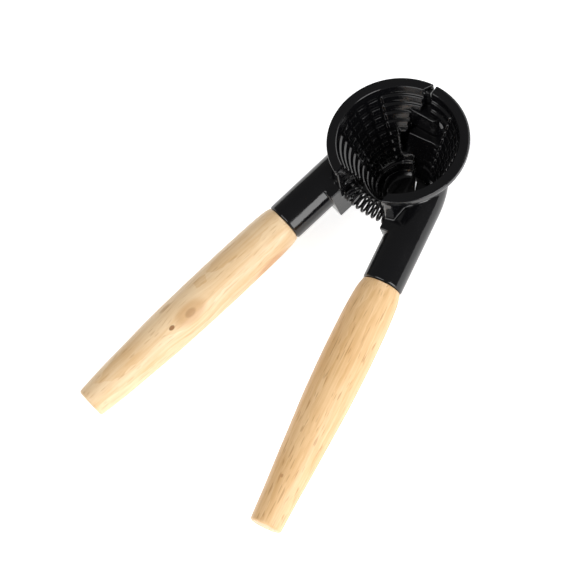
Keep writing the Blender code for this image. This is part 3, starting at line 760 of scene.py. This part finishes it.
def tooth_tree():
    """Stands a block on every place of a grid of rings and columns on a tapering wall."""
    tree = new_tree("teeth_on_a_tapering_wall", {
        "Columns": 4, "Rings": 8, "First Groove": 147.0, "Groove Pitch": 13.6,
        "First Depth": 6.3, "Ring Pitch": 4.5, "Mouth Radius": 25.7, "Wall Slope": 0.335,
        "Height": 50.0, "Full Size Radius": 24.0})
    given = put(tree, "NodeGroupInput", (-1400, 0)).outputs
    count = put(tree, "ShaderNodeMath", (-1200, 300),
                {0: given["Columns"], 1: given["Rings"]}, operation="MULTIPLY")
    spots = put(tree, "GeometryNodePoints", (-1000, 300), {"Count": count.outputs[0]})
    index = put(tree, "GeometryNodeInputIndex", (-1200, 60))
    share = put(tree, "ShaderNodeMath", (-1000, 60),
                {0: index.outputs[0], 1: given["Columns"]}, operation="DIVIDE")
    ring = put(tree, "ShaderNodeMath", (-840, 60), {0: share.outputs[0]}, operation="FLOOR")
    column = put(tree, "ShaderNodeMath", (-840, -100),
                 {0: index.outputs[0], 1: given["Columns"]}, operation="MODULO")
    centred = put(tree, "ShaderNodeMath", (-680, -100), {0: column.outputs[0], 1: 0.5},
                  operation="ADD")
    angle = put(tree, "ShaderNodeMath", (-520, -100),
                {0: centred.outputs[0], 1: given["Groove Pitch"], 2: given["First Groove"]},
                operation="MULTIPLY_ADD")
    turn = put(tree, "ShaderNodeMath", (-360, -100), {0: angle.outputs[0]},
               operation="RADIANS")
    across = put(tree, "ShaderNodeMath", (-200, -60), {0: turn.outputs[0]},
                 operation="COSINE")
    ahead = put(tree, "ShaderNodeMath", (-200, -200), {0: turn.outputs[0]},
                operation="SINE")
    depth = put(tree, "ShaderNodeMath", (-680, 60),
                {0: ring.outputs[0], 1: given["Ring Pitch"], 2: given["First Depth"]},
                operation="MULTIPLY_ADD")
    taper = put(tree, "ShaderNodeMath", (-520, 60),
                {0: depth.outputs[0], 1: given["Wall Slope"]}, operation="MULTIPLY")
    radius = put(tree, "ShaderNodeMath", (-360, 60),
                 {0: given["Mouth Radius"], 1: taper.outputs[0]}, operation="SUBTRACT")
    height = put(tree, "ShaderNodeMath", (-360, 200),
                 {0: given["Height"], 1: depth.outputs[0]}, operation="SUBTRACT")
    x = put(tree, "ShaderNodeMath", (-40, 60), {0: radius.outputs[0], 1: across.outputs[0]},
            operation="MULTIPLY")
    y = put(tree, "ShaderNodeMath", (-40, -80), {0: radius.outputs[0], 1: ahead.outputs[0]},
            operation="MULTIPLY")
    spot = put(tree, "ShaderNodeCombineXYZ", (120, 60),
               {0: x.outputs[0], 1: y.outputs[0], 2: height.outputs[0]})
    placed = put(tree, "GeometryNodeSetPosition", (300, 300),
                 {"Geometry": spots.outputs[0], "Position": spot.outputs[0]})
    inward_x = put(tree, "ShaderNodeMath", (-40, -240), {0: across.outputs[0], 1: -1.0},
                   operation="MULTIPLY")
    inward_y = put(tree, "ShaderNodeMath", (-40, -380), {0: ahead.outputs[0], 1: -1.0},
                   operation="MULTIPLY")
    facing = put(tree, "ShaderNodeCombineXYZ", (200, -160),
                 {0: inward_x.outputs[0], 1: inward_y.outputs[0], 2: given["Wall Slope"]})
    sideways = put(tree, "ShaderNodeCombineXYZ", (200, -320),
                   {0: inward_y.outputs[0], 1: across.outputs[0]})
    turned = put(tree, "FunctionNodeAxesToRotation", (440, -160),
                 {"Primary Axis": facing.outputs[0], "Secondary Axis": sideways.outputs[0]},
                 primary_axis="Z", secondary_axis="X")
    wide = put(tree, "ShaderNodeMath", (440, 60),
               {0: radius.outputs[0], 1: given["Full Size Radius"]}, operation="DIVIDE")
    size = put(tree, "ShaderNodeCombineXYZ", (600, 60), {0: wide.outputs[0], 1: 1.0, 2: 1.0})
    blocks = put(tree, "GeometryNodeInstanceOnPoints", (780, 200),
                 {"Points": placed.outputs[0], "Instance": given["Geometry"],
                  "Rotation": turned.outputs[0], "Scale": size.outputs[0]})
    finish_tree(tree, blocks.outputs[0], given["Material"])
    return tree


def sweep_tree():
    """Sweeps a round section along a path of edges, as thick as the path's own radius."""
    tree = new_tree("round_section_along_a_path", {"Sides": 24})
    given = put(tree, "NodeGroupInput", (-700, 0)).outputs
    path = put(tree, "GeometryNodeMeshToCurve", (-500, 100), {"Mesh": given["Geometry"]})
    thick = put(tree, "GeometryNodeInputNamedAttribute", (-500, -100),
                {"Name": "section_radius"}, data_type="FLOAT")
    circle = put(tree, "GeometryNodeCurvePrimitiveCircle", (-300, -160),
                 {"Resolution": given["Sides"], "Radius": 1.0})
    tube = put(tree, "GeometryNodeCurveToMesh", (-100, 100),
               {"Curve": path.outputs[0], "Profile Curve": circle.outputs[0],
                "Scale": thick.outputs[0], "Fill Caps": True})
    smooth = put(tree, "GeometryNodeSetShadeSmooth", (100, 100),
                 {"Geometry": tube.outputs[0]})
    finish_tree(tree, smooth.outputs[0], given["Material"])
    return tree


def lathe_tree():
    """Turns a profile, drawn with its reach from the hub along X and its depth along Y."""
    tree = new_tree("profile_turned_on_a_lathe", {"Sides": 96, "Hub Radius": 0.001})
    given = put(tree, "NodeGroupInput", (-700, 0)).outputs
    profile = put(tree, "GeometryNodeMeshToCurve", (-500, -100), {"Mesh": given["Geometry"]})
    hub = put(tree, "GeometryNodeCurvePrimitiveCircle", (-500, 100),
              {"Resolution": given["Sides"], "Radius": given["Hub Radius"]})
    body = put(tree, "GeometryNodeCurveToMesh", (-200, 100),
               {"Curve": hub.outputs[0], "Profile Curve": profile.outputs[0]})
    smooth = put(tree, "GeometryNodeSetShadeSmooth", (0, 100), {"Geometry": body.outputs[0]})
    finish_tree(tree, smooth.outputs[0], given["Material"])
    return tree


def path_mesh(name, lines):
    """Edges through the points of each line, with the radius of the section at each point."""
    points = []
    radii = []
    edges = []
    for line in lines:
        first = len(points)
        edges += [(first + i, first + i + 1) for i in range(len(line) - 1)]
        for point, radius in line:
            points.append(tuple(np.array(point) * MM + FOOT))
            radii.append(radius * MM)
    mesh = bpy.data.meshes.new(name)
    mesh.from_pydata(points, edges, [])
    mesh.attributes.new("section_radius", "FLOAT", "POINT").data.foreach_set("value", radii)
    return mesh


def swept(name, lines, sides, material, sharp=35.0):
    """A piece swept along its lines, closed and turned outwards."""
    tree = bpy.data.node_groups.get("round_section_along_a_path") or sweep_tree()
    made = run_tree(tree, name, path_mesh(name, lines), {"Sides": sides, "Material": material})
    close_seams(made)
    made.data.set_sharp_from_angle(angle=math.radians(sharp))
    return made


def turned(name, pairs, place, sides, material, sharp=35.0):
    """A piece turned from pairs of (radius, height) in millimetres, and put in its place."""
    tree = bpy.data.node_groups.get("profile_turned_on_a_lathe") or lathe_tree()
    hub = MM
    profile = bpy.data.meshes.new(name)
    profile.from_pydata([(radius * MM - hub, -height * MM, 0.0) for radius, height in pairs],
                        [(i, i + 1) for i in range(len(pairs) - 1)], [])
    made = run_tree(tree, name, profile,
                    {"Sides": sides, "Hub Radius": hub, "Material": material})
    shift = Matrix.Translation(FOOT)
    seat = Matrix.Translation(place.translation * MM) @ place.to_3x3().to_4x4()
    made.data.transform(shift @ seat)
    close_seams(made)
    made.data.set_sharp_from_angle(angle=math.radians(sharp))
    return made


# ---------------------------------------------------------------- pieces

def tooth_block(jaw):
    """One tooth at full size: a block with sloping sides and soft edges, its top at z = 0."""
    lean = 1.0 / math.cos(math.atan(WALL_SLOPE))
    wide = math.radians(13.6 - GROOVE_ANGLE) * jaw["full_size_radius"] / 2.0
    deep = jaw["ring_land"] * lean / 2.0
    low = -(jaw["ring_height"] + 0.35)
    ramp = jaw["tooth_ramp"]
    drop = ramp * math.tan(jaw["tooth_slope"])
    across = [(-deep - 0.42, low), (-deep, 0.0), (deep - ramp, 0.0), (deep, -drop),
              (deep + 0.3, low)]
    shape = bmesh.new()
    ends = [[shape.verts.new((side * (wide + 0.75 * z / low), y, z)) for y, z in across]
            for side in (-1, 1)]
    shape.faces.new(ends[0])
    shape.faces.new(ends[1][::-1])
    for i in range(len(across)):
        j = (i + 1) % len(across)
        shape.faces.new((ends[1][i], ends[1][j], ends[0][j], ends[0][i]))
    top = [edge for edge in shape.edges if min(v.co.z for v in edge.verts) > low / 2.0
           or abs(edge.verts[0].co.z - edge.verts[1].co.z) > jaw["ring_height"] / 2.0]
    bmesh.ops.bevel(shape, geom=top, offset=jaw["tooth_edge"], segments=3, profile=0.5,
                    affect="EDGES", clamp_overlap=True)
    bmesh.ops.recalc_face_normals(shape, faces=shape.faces)
    mesh = bpy.data.meshes.new("tooth")
    shape.to_mesh(mesh)
    shape.free()
    mesh.shade_smooth()
    return mesh


def teeth(side, jaw, material):
    """All the teeth of one jaw."""
    first, pitch, columns, more = TEETH[side]
    middle = jaw["ring_start"] + jaw["ring_land"] / 2.0
    groups = [(first, columns, FIRST_TOOTHED_RING)]
    if more:
        groups.append((first - pitch * more, more, FIRST_WIDE_RING))
    made = []
    tree = bpy.data.node_groups.get("teeth_on_a_tapering_wall") or tooth_tree()
    for start, count, ring in groups:
        piece = run_tree(tree, "teeth", tooth_block(jaw), {
            "Groove Pitch": pitch, "Ring Pitch": jaw["ring_pitch"], "Mouth Radius": MOUTH_RADIUS,
            "Wall Slope": WALL_SLOPE, "Height": FUNNEL_HEIGHT,
            "Full Size Radius": jaw["full_size_radius"], "Material": material,
            "First Groove": start, "Columns": count, "Rings": jaw["ring_count"] - ring,
            "First Depth": middle + ring * jaw["ring_pitch"]})
        piece.data.transform(Matrix.Translation(FOOT) @ Matrix.Scale(MM, 4))
        made.append(piece)
    return made


def jaw_casting(side, jaw, material):
    """One casting: its skin, and the teeth that stand on its wall."""
    low = (-36.0, -52.0, -0.5) if side < 0 else (-9.5, -52.0, -0.5)
    high = (8.5, 31.0, 50.5) if side < 0 else (36.0, 31.0, 50.5)
    cell = jaw["cell"] * 1.0
    points, faces = skin(lambda p: jaw_field(p, side, jaw), low, high, cell)
    name = SIDE_NAME[side] + "_jaw_casting"
    made = mesh_object(name, points, faces.tolist(), material)
    made = join(name, [made] + teeth(side, jaw, material))
    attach(made, BODY[side])
    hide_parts(SIDE_NAME[side] + "_jaw")


def smooth_profile(points, steps=5):
    """Points on a smooth curve through the given ones."""
    curve = []
    for index in range(len(points) - 1):
        before = points[max(index - 1, 0)]
        start = points[index]
        end = points[index + 1]
        after = points[min(index + 2, len(points) - 1)]
        for step in range(steps):
            t = step / steps
            curve.append(tuple(0.5 * (2.0 * b + (c - a) * t
                                      + (2.0 * a - 5.0 * b + 4.0 * c - d) * t * t
                                      + (3.0 * b - a - 3.0 * c + d) * t ** 3)
                               for a, b, c, d in zip(before, start, end, after)))
    return curve + [points[-1]]


def turned_handle(side, material):
    """Handle with its spigot, shoulder and belly, and the bore for the dowel screw."""
    profile = smooth_profile(PROFILES[side])
    bore_end = DOWEL_REACH_IN_HANDLE + JOINT_GAP
    inner = JOINT_GAP - SPIGOT_LENGTH
    pairs = [(0.0, bore_end), (DOWEL_BORE_RADIUS, bore_end), (DOWEL_BORE_RADIUS, inner + 0.4),
             (DOWEL_BORE_RADIUS + 0.4, inner), (SPIGOT_RADIUS - 0.4, inner),
             (SPIGOT_RADIUS, inner + 0.4), (SPIGOT_RADIUS, JOINT_GAP),
             (PROFILES[side][0][1] - 0.3, JOINT_GAP)]
    pairs += [(radius, distance) for distance, radius in profile]
    last, radius = profile[-1]
    pairs += [(radius - 0.15, last + 0.25), (radius - 0.4, last + 0.42),
              (radius - 0.9, HANDLE_LENGTH), (radius - 3.0, HANDLE_LENGTH),
              (0.0, HANDLE_LENGTH)]
    place = arm_frame(side) @ Matrix.Translation((0.0, 0.0, ARM_LENGTH))
    name = SIDE_NAME[side] + "_turned_handle"
    made = turned(name, pairs, place, 96, material)
    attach(made, BODY[side])
    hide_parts(SIDE_NAME[side] + "_handle")


def spring_centres(wire, coil, turns, steps):
    """Centres of the wire of a bowed compression spring with closed ends."""
    seat = seat_point(RIGHT)
    arc_radius = seat.x / math.sin(ARM_SPREAD)
    middle = Vector((0.0, seat.y + arc_radius * math.cos(ARM_SPREAD), seat.z))
    half_angle = ARM_SPREAD - (JOINT_GAP + wire) / arc_radius
    closed = (2.0 * wire + 0.15) / arc_radius
    last = turns - 1.0
    inner_start = closed - half_angle
    centres = []
    for i in range(turns * steps + 1):
        turn = i / steps
        if turn < 1.0:
            angle = closed * turn - half_angle
        elif turn > last:
            angle = half_angle - closed * (turns - turn)
        else:
            angle = inner_start - 2.0 * inner_start * (turn - 1.0) / (last - 1.0)
        radial = Vector((math.sin(angle), -math.cos(angle), 0.0))
        phase = math.tau * turn
        offset = radial * math.cos(phase) + Vector((0.0, 0.0, math.sin(phase)))
        centres.append(middle + radial * arc_radius + offset * coil)
    return centres


def coil_spring(spring, material):
    """The return spring, bent between the two jaws."""
    wire = spring.wire / MM / 2.0
    centres = spring_centres(wire, spring.coil / MM / 2.0 - wire, spring.turns, 36)
    made = swept("return_spring_coil", [[(centre, wire) for centre in centres]], 16, material)
    tuple(np.array(seat_point(LEFT)) * MM + FOOT)
    tuple(np.array(seat_point(RIGHT)) * MM + FOOT)
    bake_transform(made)
    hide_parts("return_spring")


def dowel_screw(side, hardware, material):
    """Headless screw with a rolled thread on each half and a plain waist."""
    start = ARM_LENGTH - SOCKET_DEPTH - DOWEL_REACH_IN_JAW
    end = ARM_LENGTH + DOWEL_REACH_IN_HANDLE
    pitch = hardware.thread_pitch / MM
    ridge = 0.32 * pitch
    root = DOWEL_RADIUS - ridge
    place = arm_frame(side)

    def at(x, y, z):
        return place @ Vector((x, y, z))

    core = [(at(0, 0, start), 1.0), (at(0, 0, start + 0.9), root),
            (at(0, 0, (start + end) / 2.0), root), (at(0, 0, end - 2.0), root),
            (at(0, 0, end), 0.5)]
    waist = ARM_LENGTH - SOCKET_DEPTH + 3.0
    lines = [core]
    for low, high in ((start + 0.8, waist), (waist + 6.0, end - 1.6)):
        count = int((high - low) / pitch * 18)
        line = []
        for i in range(count + 1):
            angle = math.tau * i / 18
            fade = min(1.0, 4.0 * i / count, 4.0 * (count - i) / count)
            radius = root + 0.1 * fade
            line.append((at(radius * math.cos(angle), radius * math.sin(angle),
                            low + (high - low) * i / count), 0.05 + (ridge - 0.1) * fade))
        lines.append(line)
    name = SIDE_NAME[side] + "_threaded_dowel_screw"
    made = swept(name, lines, 10, material)
    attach(made, BODY[side])
    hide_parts(SIDE_NAME[side] + "_dowel_screw")


def headed_pin(material):
    """Hinge pin with a domed head under the lower knuckle."""
    top = UPPER_KNUCKLE[1] - 2.0
    head_top = LOWER_KNUCKLE[0] - JOINT_GAP
    pairs = [(0.0, top), (PIN_RADIUS - 0.5, top), (PIN_RADIUS - 0.15, top - 0.15),
             (PIN_RADIUS, top - 0.5), (PIN_RADIUS, head_top), (3.2, head_top),
             (3.4, head_top - 0.2)]
    for step in range(1, 9):
        angle = math.pi / 2.0 * step / 8.0
        pairs.append((3.4 * math.cos(angle), head_top - 0.2 - 1.4 * math.sin(angle)))
    place = Matrix.Translation((0.0, HINGE_Y, 0.0))
    made = turned("headed_hinge_pin", pairs, place, 64, material)
    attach(made, BODY[LEFT])
    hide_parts("hinge_pin")


# ---------------------------------------------------------------- stage

def camera(stage):
    """A long lens that looks down on the mouth from the right of the handles."""
    turn = math.radians(stage.azimuth)
    lift = math.radians(stage.elevation)
    roll = math.radians(stage.roll)
    back = Vector((math.sin(turn) * math.cos(lift), -math.cos(turn) * math.cos(lift),
                   math.sin(lift)))
    right = Vector((math.cos(turn), math.sin(turn), 0.0))
    up = back.cross(right)
    across = math.cos(roll) * right + math.sin(roll) * up
    above = -math.sin(roll) * right + math.cos(roll) * up
    lens = bpy.data.cameras.new("studio_camera")
    lens.sensor_width = 36.0
    lens.lens = stage.lens
    lens.clip_start = 0.05
    lens.clip_end = 20.0
    spread = lens.sensor_width / lens.lens
    aim = Vector((HINGE.x, HINGE.y - HINGE_Y * MM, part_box("left_jaw")[1].z))
    offset = Vector((stage.aim_across * spread, stage.aim_up * spread, -1.0)) * stage.distance
    place = aim - (across * offset.x + above * offset.y + back * offset.z)
    made = bpy.data.objects.new("studio_camera", lens)
    bpy.context.scene.collection.objects.link(made)
    matrix = Matrix.Identity(4)
    for column, axis in enumerate((across, above, back, place)):
        for row in range(3):
            matrix[row][column] = axis[row]
    made.matrix_world = matrix
    bpy.context.scene.camera = made


def softbox(name, place, target, width, height, power):
    light = bpy.data.lights.new(name, "AREA")
    light.shape = "RECTANGLE"
    light.size = width
    light.size_y = height
    light.energy = power
    made = bpy.data.objects.new(name, light)
    bpy.context.scene.collection.objects.link(made)
    made.location = place
    made.rotation_euler = (Vector(target) - Vector(place)).to_track_quat("-Z", "Y").to_euler()


def floor(stage):
    """A wide pale table top whose edge is out of every view."""
    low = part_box("left_jaw")[0].z - 0.0002
    reach = 1.6
    thick = 0.02
    shape = bmesh.new()
    bmesh.ops.create_cube(shape, size=1.0)
    bmesh.ops.scale(shape, vec=(2.0 * reach, 2.0 * reach, thick), verts=shape.verts)
    bmesh.ops.translate(shape, vec=(0.0, 0.0, low - thick / 2.0), verts=shape.verts)
    bmesh.ops.bevel(shape, geom=shape.edges[:], offset=0.004, segments=3, affect="EDGES")
    mesh = bpy.data.meshes.new("table_top")
    shape.to_mesh(mesh)
    shape.free()
    made = bpy.data.objects.new("table_top", mesh)
    bpy.context.scene.collection.objects.link(made)
    look = new_material("matt_white_laminate")
    tree = look.node_tree
    place = put(tree, "ShaderNodeTexCoord", (-700, 0))
    grain = put(tree, "ShaderNodeTexNoise", (-500, 0),
                {"Vector": place.outputs["Object"], "Scale": 6.0, "Detail": 2.0})
    tint = put(tree, "ShaderNodeMix", (-250, 0),
               {0: grain.outputs["Fac"], 6: linear("#F8F8F8"), 7: linear("#FBFBFB")},
               data_type="RGBA")
    shader = put(tree, "ShaderNodeBsdfPrincipled", (0, 0),
                 {"Base Color": tint.outputs[2], "Roughness": 0.8,
                  "Specular IOR Level": 0.2, "Emission Color": (1.0, 1.0, 1.0, 1.0),
                  "Emission Strength": stage.glow})
    put(tree, "ShaderNodeOutputMaterial", (300, 0), {"Surface": shader.outputs["BSDF"]})
    mesh.materials.append(look)


def surroundings(stage):
    world = bpy.data.worlds.new("studio_air")
    world.use_nodes = True
    tree = world.node_tree
    tree.nodes.clear()
    air = put(tree, "ShaderNodeBackground", (0, 0),
              {"Color": (1.0, 1.0, 1.0, 1.0), "Strength": stage.air})
    put(tree, "ShaderNodeOutputWorld", (200, 0), {"Surface": air.outputs[0]})
    bpy.context.scene.world = world
    bpy.context.scene.view_settings.view_transform = "Standard"


# ---------------------------------------------------------------- add-on

def colour(label, note, code):
    return FloatVectorProperty(name=label, description=note, subtype="COLOR", size=4, min=0.0,
                               max=1.0, default=linear(code))


def size(label, note, millimetres):
    return FloatProperty(name=label, description=note, default=millimetres * MM,
                         unit="LENGTH", precision=5)


class JawSizes(bpy.types.PropertyGroup):
    """Sizes and colour of the two castings."""
    ring_start: size("First ring", "Depth of the first ring below the rim", 0.5)
    ring_pitch: size("Ring pitch", "Depth from one ring to the next", 4.5)
    ring_land: size("Ring land", "Depth that one ring covers", 2.6)
    ring_height: size("Ring height", "How far a ring stands out of the wall", 0.9)
    ring_count: IntProperty(name="Rings", description="Number of gripping rings", default=9)
    tooth_edge: size("Tooth edge", "Softness of a tooth's edges", 0.16)
    tooth_ramp: size("Tooth ramp", "Width of the slope along a tooth's upper edge", 0.85)
    tooth_slope: FloatProperty(name="Tooth slope", description="Tilt of that slope in degrees",
                               default=28.0)
    full_size_radius: size("Full size radius", "Wall radius where a tooth has full width", 24.0)
    cell: size("Detail", "Size of the smallest detail of the castings' skin", 0.38)
    enamel: colour("Enamel", "Colour of the stove enamel", "#0B0B0D")


class HandleLooks(bpy.types.PropertyGroup):
    """Colours of the two turned handles."""
    left_pale: colour("Left, pale wood", "Early wood of the left handle", "#F4D9B2")
    left_dark: colour("Left, dark wood", "Late wood of the left handle", "#E0BA88")
    right_pale: colour("Right, pale wood", "Early wood of the right handle", "#EFCB9B")
    right_dark: colour("Right, dark wood", "Late wood of the right handle", "#D6A970")


class SpringSizes(bpy.types.PropertyGroup):
    """Sizes and colour of the return spring."""
    wire: size("Wire", "Diameter of the spring's wire", 1.1)
    coil: size("Coil", "Outer diameter of the spring", 8.3)
    turns: IntProperty(name="Turns", description="Number of turns with the closed ends",
                       default=9)
    steel: colour("Steel", "Colour of the oiled spring wire", "#161618")


class HardwareLooks(bpy.types.PropertyGroup):
    """Sizes and colours of the hinge pin and the dowel screws."""
    thread_pitch: size("Thread pitch", "Pitch of the dowel screws' thread", 1.6)
    pin: colour("Pin", "Colour of the blackened pin", "#232326")
    zinc: colour("Zinc", "Colour of the zinc plating", "#C9CBCD")


class StageLooks(bpy.types.PropertyGroup):
    """Where the camera stands and how bright the studio is."""
    azimuth: FloatProperty(name="Azimuth", description="Degrees from the front to the right",
                           default=51.14)
    elevation: FloatProperty(name="Elevation", description="Degrees above the table",
                             default=62.32)
    roll: FloatProperty(name="Roll", description="Degrees that the camera is tilted",
                        default=-14.4)
    lens: FloatProperty(name="Lens", description="Focal length in millimetres", default=162.0)
    distance: FloatProperty(name="Distance", description="From the mouth to the camera",
                            default=1.07716, unit="LENGTH")
    aim_across: FloatProperty(name="Across", description="Mouth's place across the view",
                              default=0.19089)
    aim_up: FloatProperty(name="Up", description="Mouth's place up the view", default=0.25825)
    air: FloatProperty(name="Air", description="Brightness of the surroundings", default=0.16)
    glow: FloatProperty(name="Glow", description="Light that the table top gives off",
                        default=0.62)


class NUTCRACKER_OT_jaws(bpy.types.Operator):
    """Build both enamelled castings with their rings and teeth"""
    bl_idname = "nutcracker.jaws"
    bl_label = "Cast jaws"

    def execute(self, context):
        sizes = context.scene.nutcracker_jaws
        jaw = {key: getattr(sizes, key) / MM for key in
               ("ring_start", "ring_pitch", "ring_land", "ring_height", "tooth_edge",
                "tooth_ramp", "full_size_radius", "cell")}
        jaw["ring_count"] = sizes.ring_count
        jaw["tooth_slope"] = math.radians(sizes.tooth_slope)
        enamel = gloss_enamel(sizes.enamel)
        jaw_casting(LEFT, jaw, enamel)
        jaw_casting(RIGHT, jaw, enamel)
        return {"FINISHED"}


class NUTCRACKER_OT_handles(bpy.types.Operator):
    """Turn both wooden handles"""
    bl_idname = "nutcracker.handles"
    bl_label = "Turned handles"

    def execute(self, context):
        looks = context.scene.nutcracker_handles

        def spot(distance, degrees, side):
            """A place on a handle's surface in its own frame."""
            reach = np.interp(distance, *zip(*PROFILES[side]))
            angle = math.radians(degrees)
            return (reach * math.cos(angle) * MM, reach * math.sin(angle) * MM,
                    (ARM_LENGTH + distance) * MM)

        knot = spot(55.3, 60.0, LEFT)
        left = {"knot": knot, "knot_pull": 0.55, "pith": (0.012, -0.034, 0.0),
                "pale": looks.left_pale, "dark": looks.left_dark,
                "pore": linear("#B98A55"), "rings": 0.42, "fibres": 0.42,
                "blotches": 0.35, "pores": 0.35, "marks": (
                    (knot, (1.0, 1.0, 0.55), 0.0026, 0.0030, 0.55, linear("#C08F55")),
                    (knot, (1.0, 1.0, 0.60), 0.0011, 0.0009, 0.55, linear("#A67C50")),
                    (spot(65.3, 64.0, LEFT), (1.0, 1.0, 0.7), 0.0007, 0.0004, 0.9,
                     linear("#8A5A2B")),
                    (spot(61.8, 120.0, LEFT), (1.0, 1.0, 0.35), 0.0006, 0.0008, 0.5,
                     linear("#B0804C")),
                    (spot(16.0, 350.0, LEFT), (1.0, 1.0, 0.40), 0.0022, 0.0026, 0.6,
                     linear("#C17B35")),
                    (spot(10.8, 336.0, LEFT), (1.0, 1.0, 1.0), 0.0006, 0.0003, 1.0,
                     linear("#241A12")))}
        right = {"knot": spot(60.0, 250.0, RIGHT), "knot_pull": 0.0,
                 "pith": (-0.030, 0.016, 0.0),
                 "pale": looks.right_pale, "dark": looks.right_dark,
                 "pore": linear("#A9743F"), "rings": 0.34, "fibres": 0.5,
                 "blotches": 0.30, "pores": 0.5, "marks": (
                     (spot(91.0, 95.0, RIGHT), (1.0, 1.0, 0.7), 0.0004, 0.0003, 0.6,
                      linear("#A8713C")),)}
        turned_handle(LEFT, lacquered_beech("lacquered_beech_pale", LEFT, left))
        turned_handle(RIGHT, lacquered_beech("lacquered_beech_warm", RIGHT, right))
        return {"FINISHED"}


class NUTCRACKER_OT_spring(bpy.types.Operator):
    """Wind the return spring between its two seats"""
    bl_idname = "nutcracker.spring"
    bl_label = "Return spring"

    def execute(self, context):
        sizes = context.scene.nutcracker_spring
        coil_spring(sizes, metal("oiled_spring_wire", sizes.steel, 0.22, 0.36, 0.7, 500.0))
        return {"FINISHED"}


class NUTCRACKER_OT_hardware(bpy.types.Operator):
    """Make the hinge pin and the two dowel screws"""
    bl_idname = "nutcracker.hardware"
    bl_label = "Pin and screws"

    def execute(self, context):
        looks = context.scene.nutcracker_hardware
        headed_pin(metal("blackened_steel", looks.pin, 0.28, 0.42, 0.8, 600.0))
        zinc = metal("zinc_plated_steel", looks.zinc, 0.24, 0.38, 1.0, 800.0)
        dowel_screw(LEFT, looks, zinc)
        dowel_screw(RIGHT, looks, zinc)
        return {"FINISHED"}


class NUTCRACKER_OT_stage(bpy.types.Operator):
    """Set the table top, the soft lights and the camera"""
    bl_idname = "nutcracker.stage"
    bl_label = "Studio"

    def execute(self, context):
        stage = context.scene.nutcracker_stage
        floor(stage)
        surroundings(stage)
        camera(stage)
        softbox("right_softbox", (0.97, -0.12, 0.40), (0.0, 0.05, 0.03), 0.62, 0.76, 8.0)
        softbox("front_softbox", (-0.10, -1.10, 1.10), (0.0, 0.0, 0.0), 1.2, 0.8, 13.5)
        softbox("back_softbox", (0.10, 1.20, 1.00), (0.0, 0.0, 0.0), 1.2, 0.8, 8.0)
        return {"FINISHED"}


class NUTCRACKER_PT_panel(bpy.types.Panel):
    """Lists the nutcracker's sizes, colours and pieces"""
    bl_idname = "NUTCRACKER_PT_panel"
    bl_label = "Nutcracker"
    bl_space_type = "VIEW_3D"
    bl_region_type = "UI"
    bl_category = "Nutcracker"

    def draw(self, context):
        for name, group, operator in PIECES:
            box = self.layout.box()
            box.operator(operator.bl_idname)
            for key in group.__annotations__:
                box.prop(getattr(context.scene, name), key)


PIECES = (("nutcracker_jaws", JawSizes, NUTCRACKER_OT_jaws),
          ("nutcracker_handles", HandleLooks, NUTCRACKER_OT_handles),
          ("nutcracker_spring", SpringSizes, NUTCRACKER_OT_spring),
          ("nutcracker_hardware", HardwareLooks, NUTCRACKER_OT_hardware),
          ("nutcracker_stage", StageLooks, NUTCRACKER_OT_stage))


def register():
    for name, group, operator in PIECES:
        bpy.utils.register_class(group)
        bpy.utils.register_class(operator)
        setattr(bpy.types.Scene, name, PointerProperty(type=group))
    bpy.utils.register_class(NUTCRACKER_PT_panel)


def unregister():
    bpy.utils.unregister_class(NUTCRACKER_PT_panel)
    for name, group, operator in reversed(PIECES):
        delattr(bpy.types.Scene, name)
        bpy.utils.unregister_class(operator)
        bpy.utils.unregister_class(group)


def main():
    for item in [o for o in bpy.data.objects if o.name in ("Cube", "Camera", "Light")]:
        bpy.data.objects.remove(item)
    register()
    bpy.ops.nutcracker.jaws()
    bpy.ops.nutcracker.handles()
    bpy.ops.nutcracker.spring()
    bpy.ops.nutcracker.hardware()
    bpy.ops.nutcracker.stage()


if __name__ == "__main__":
    main()
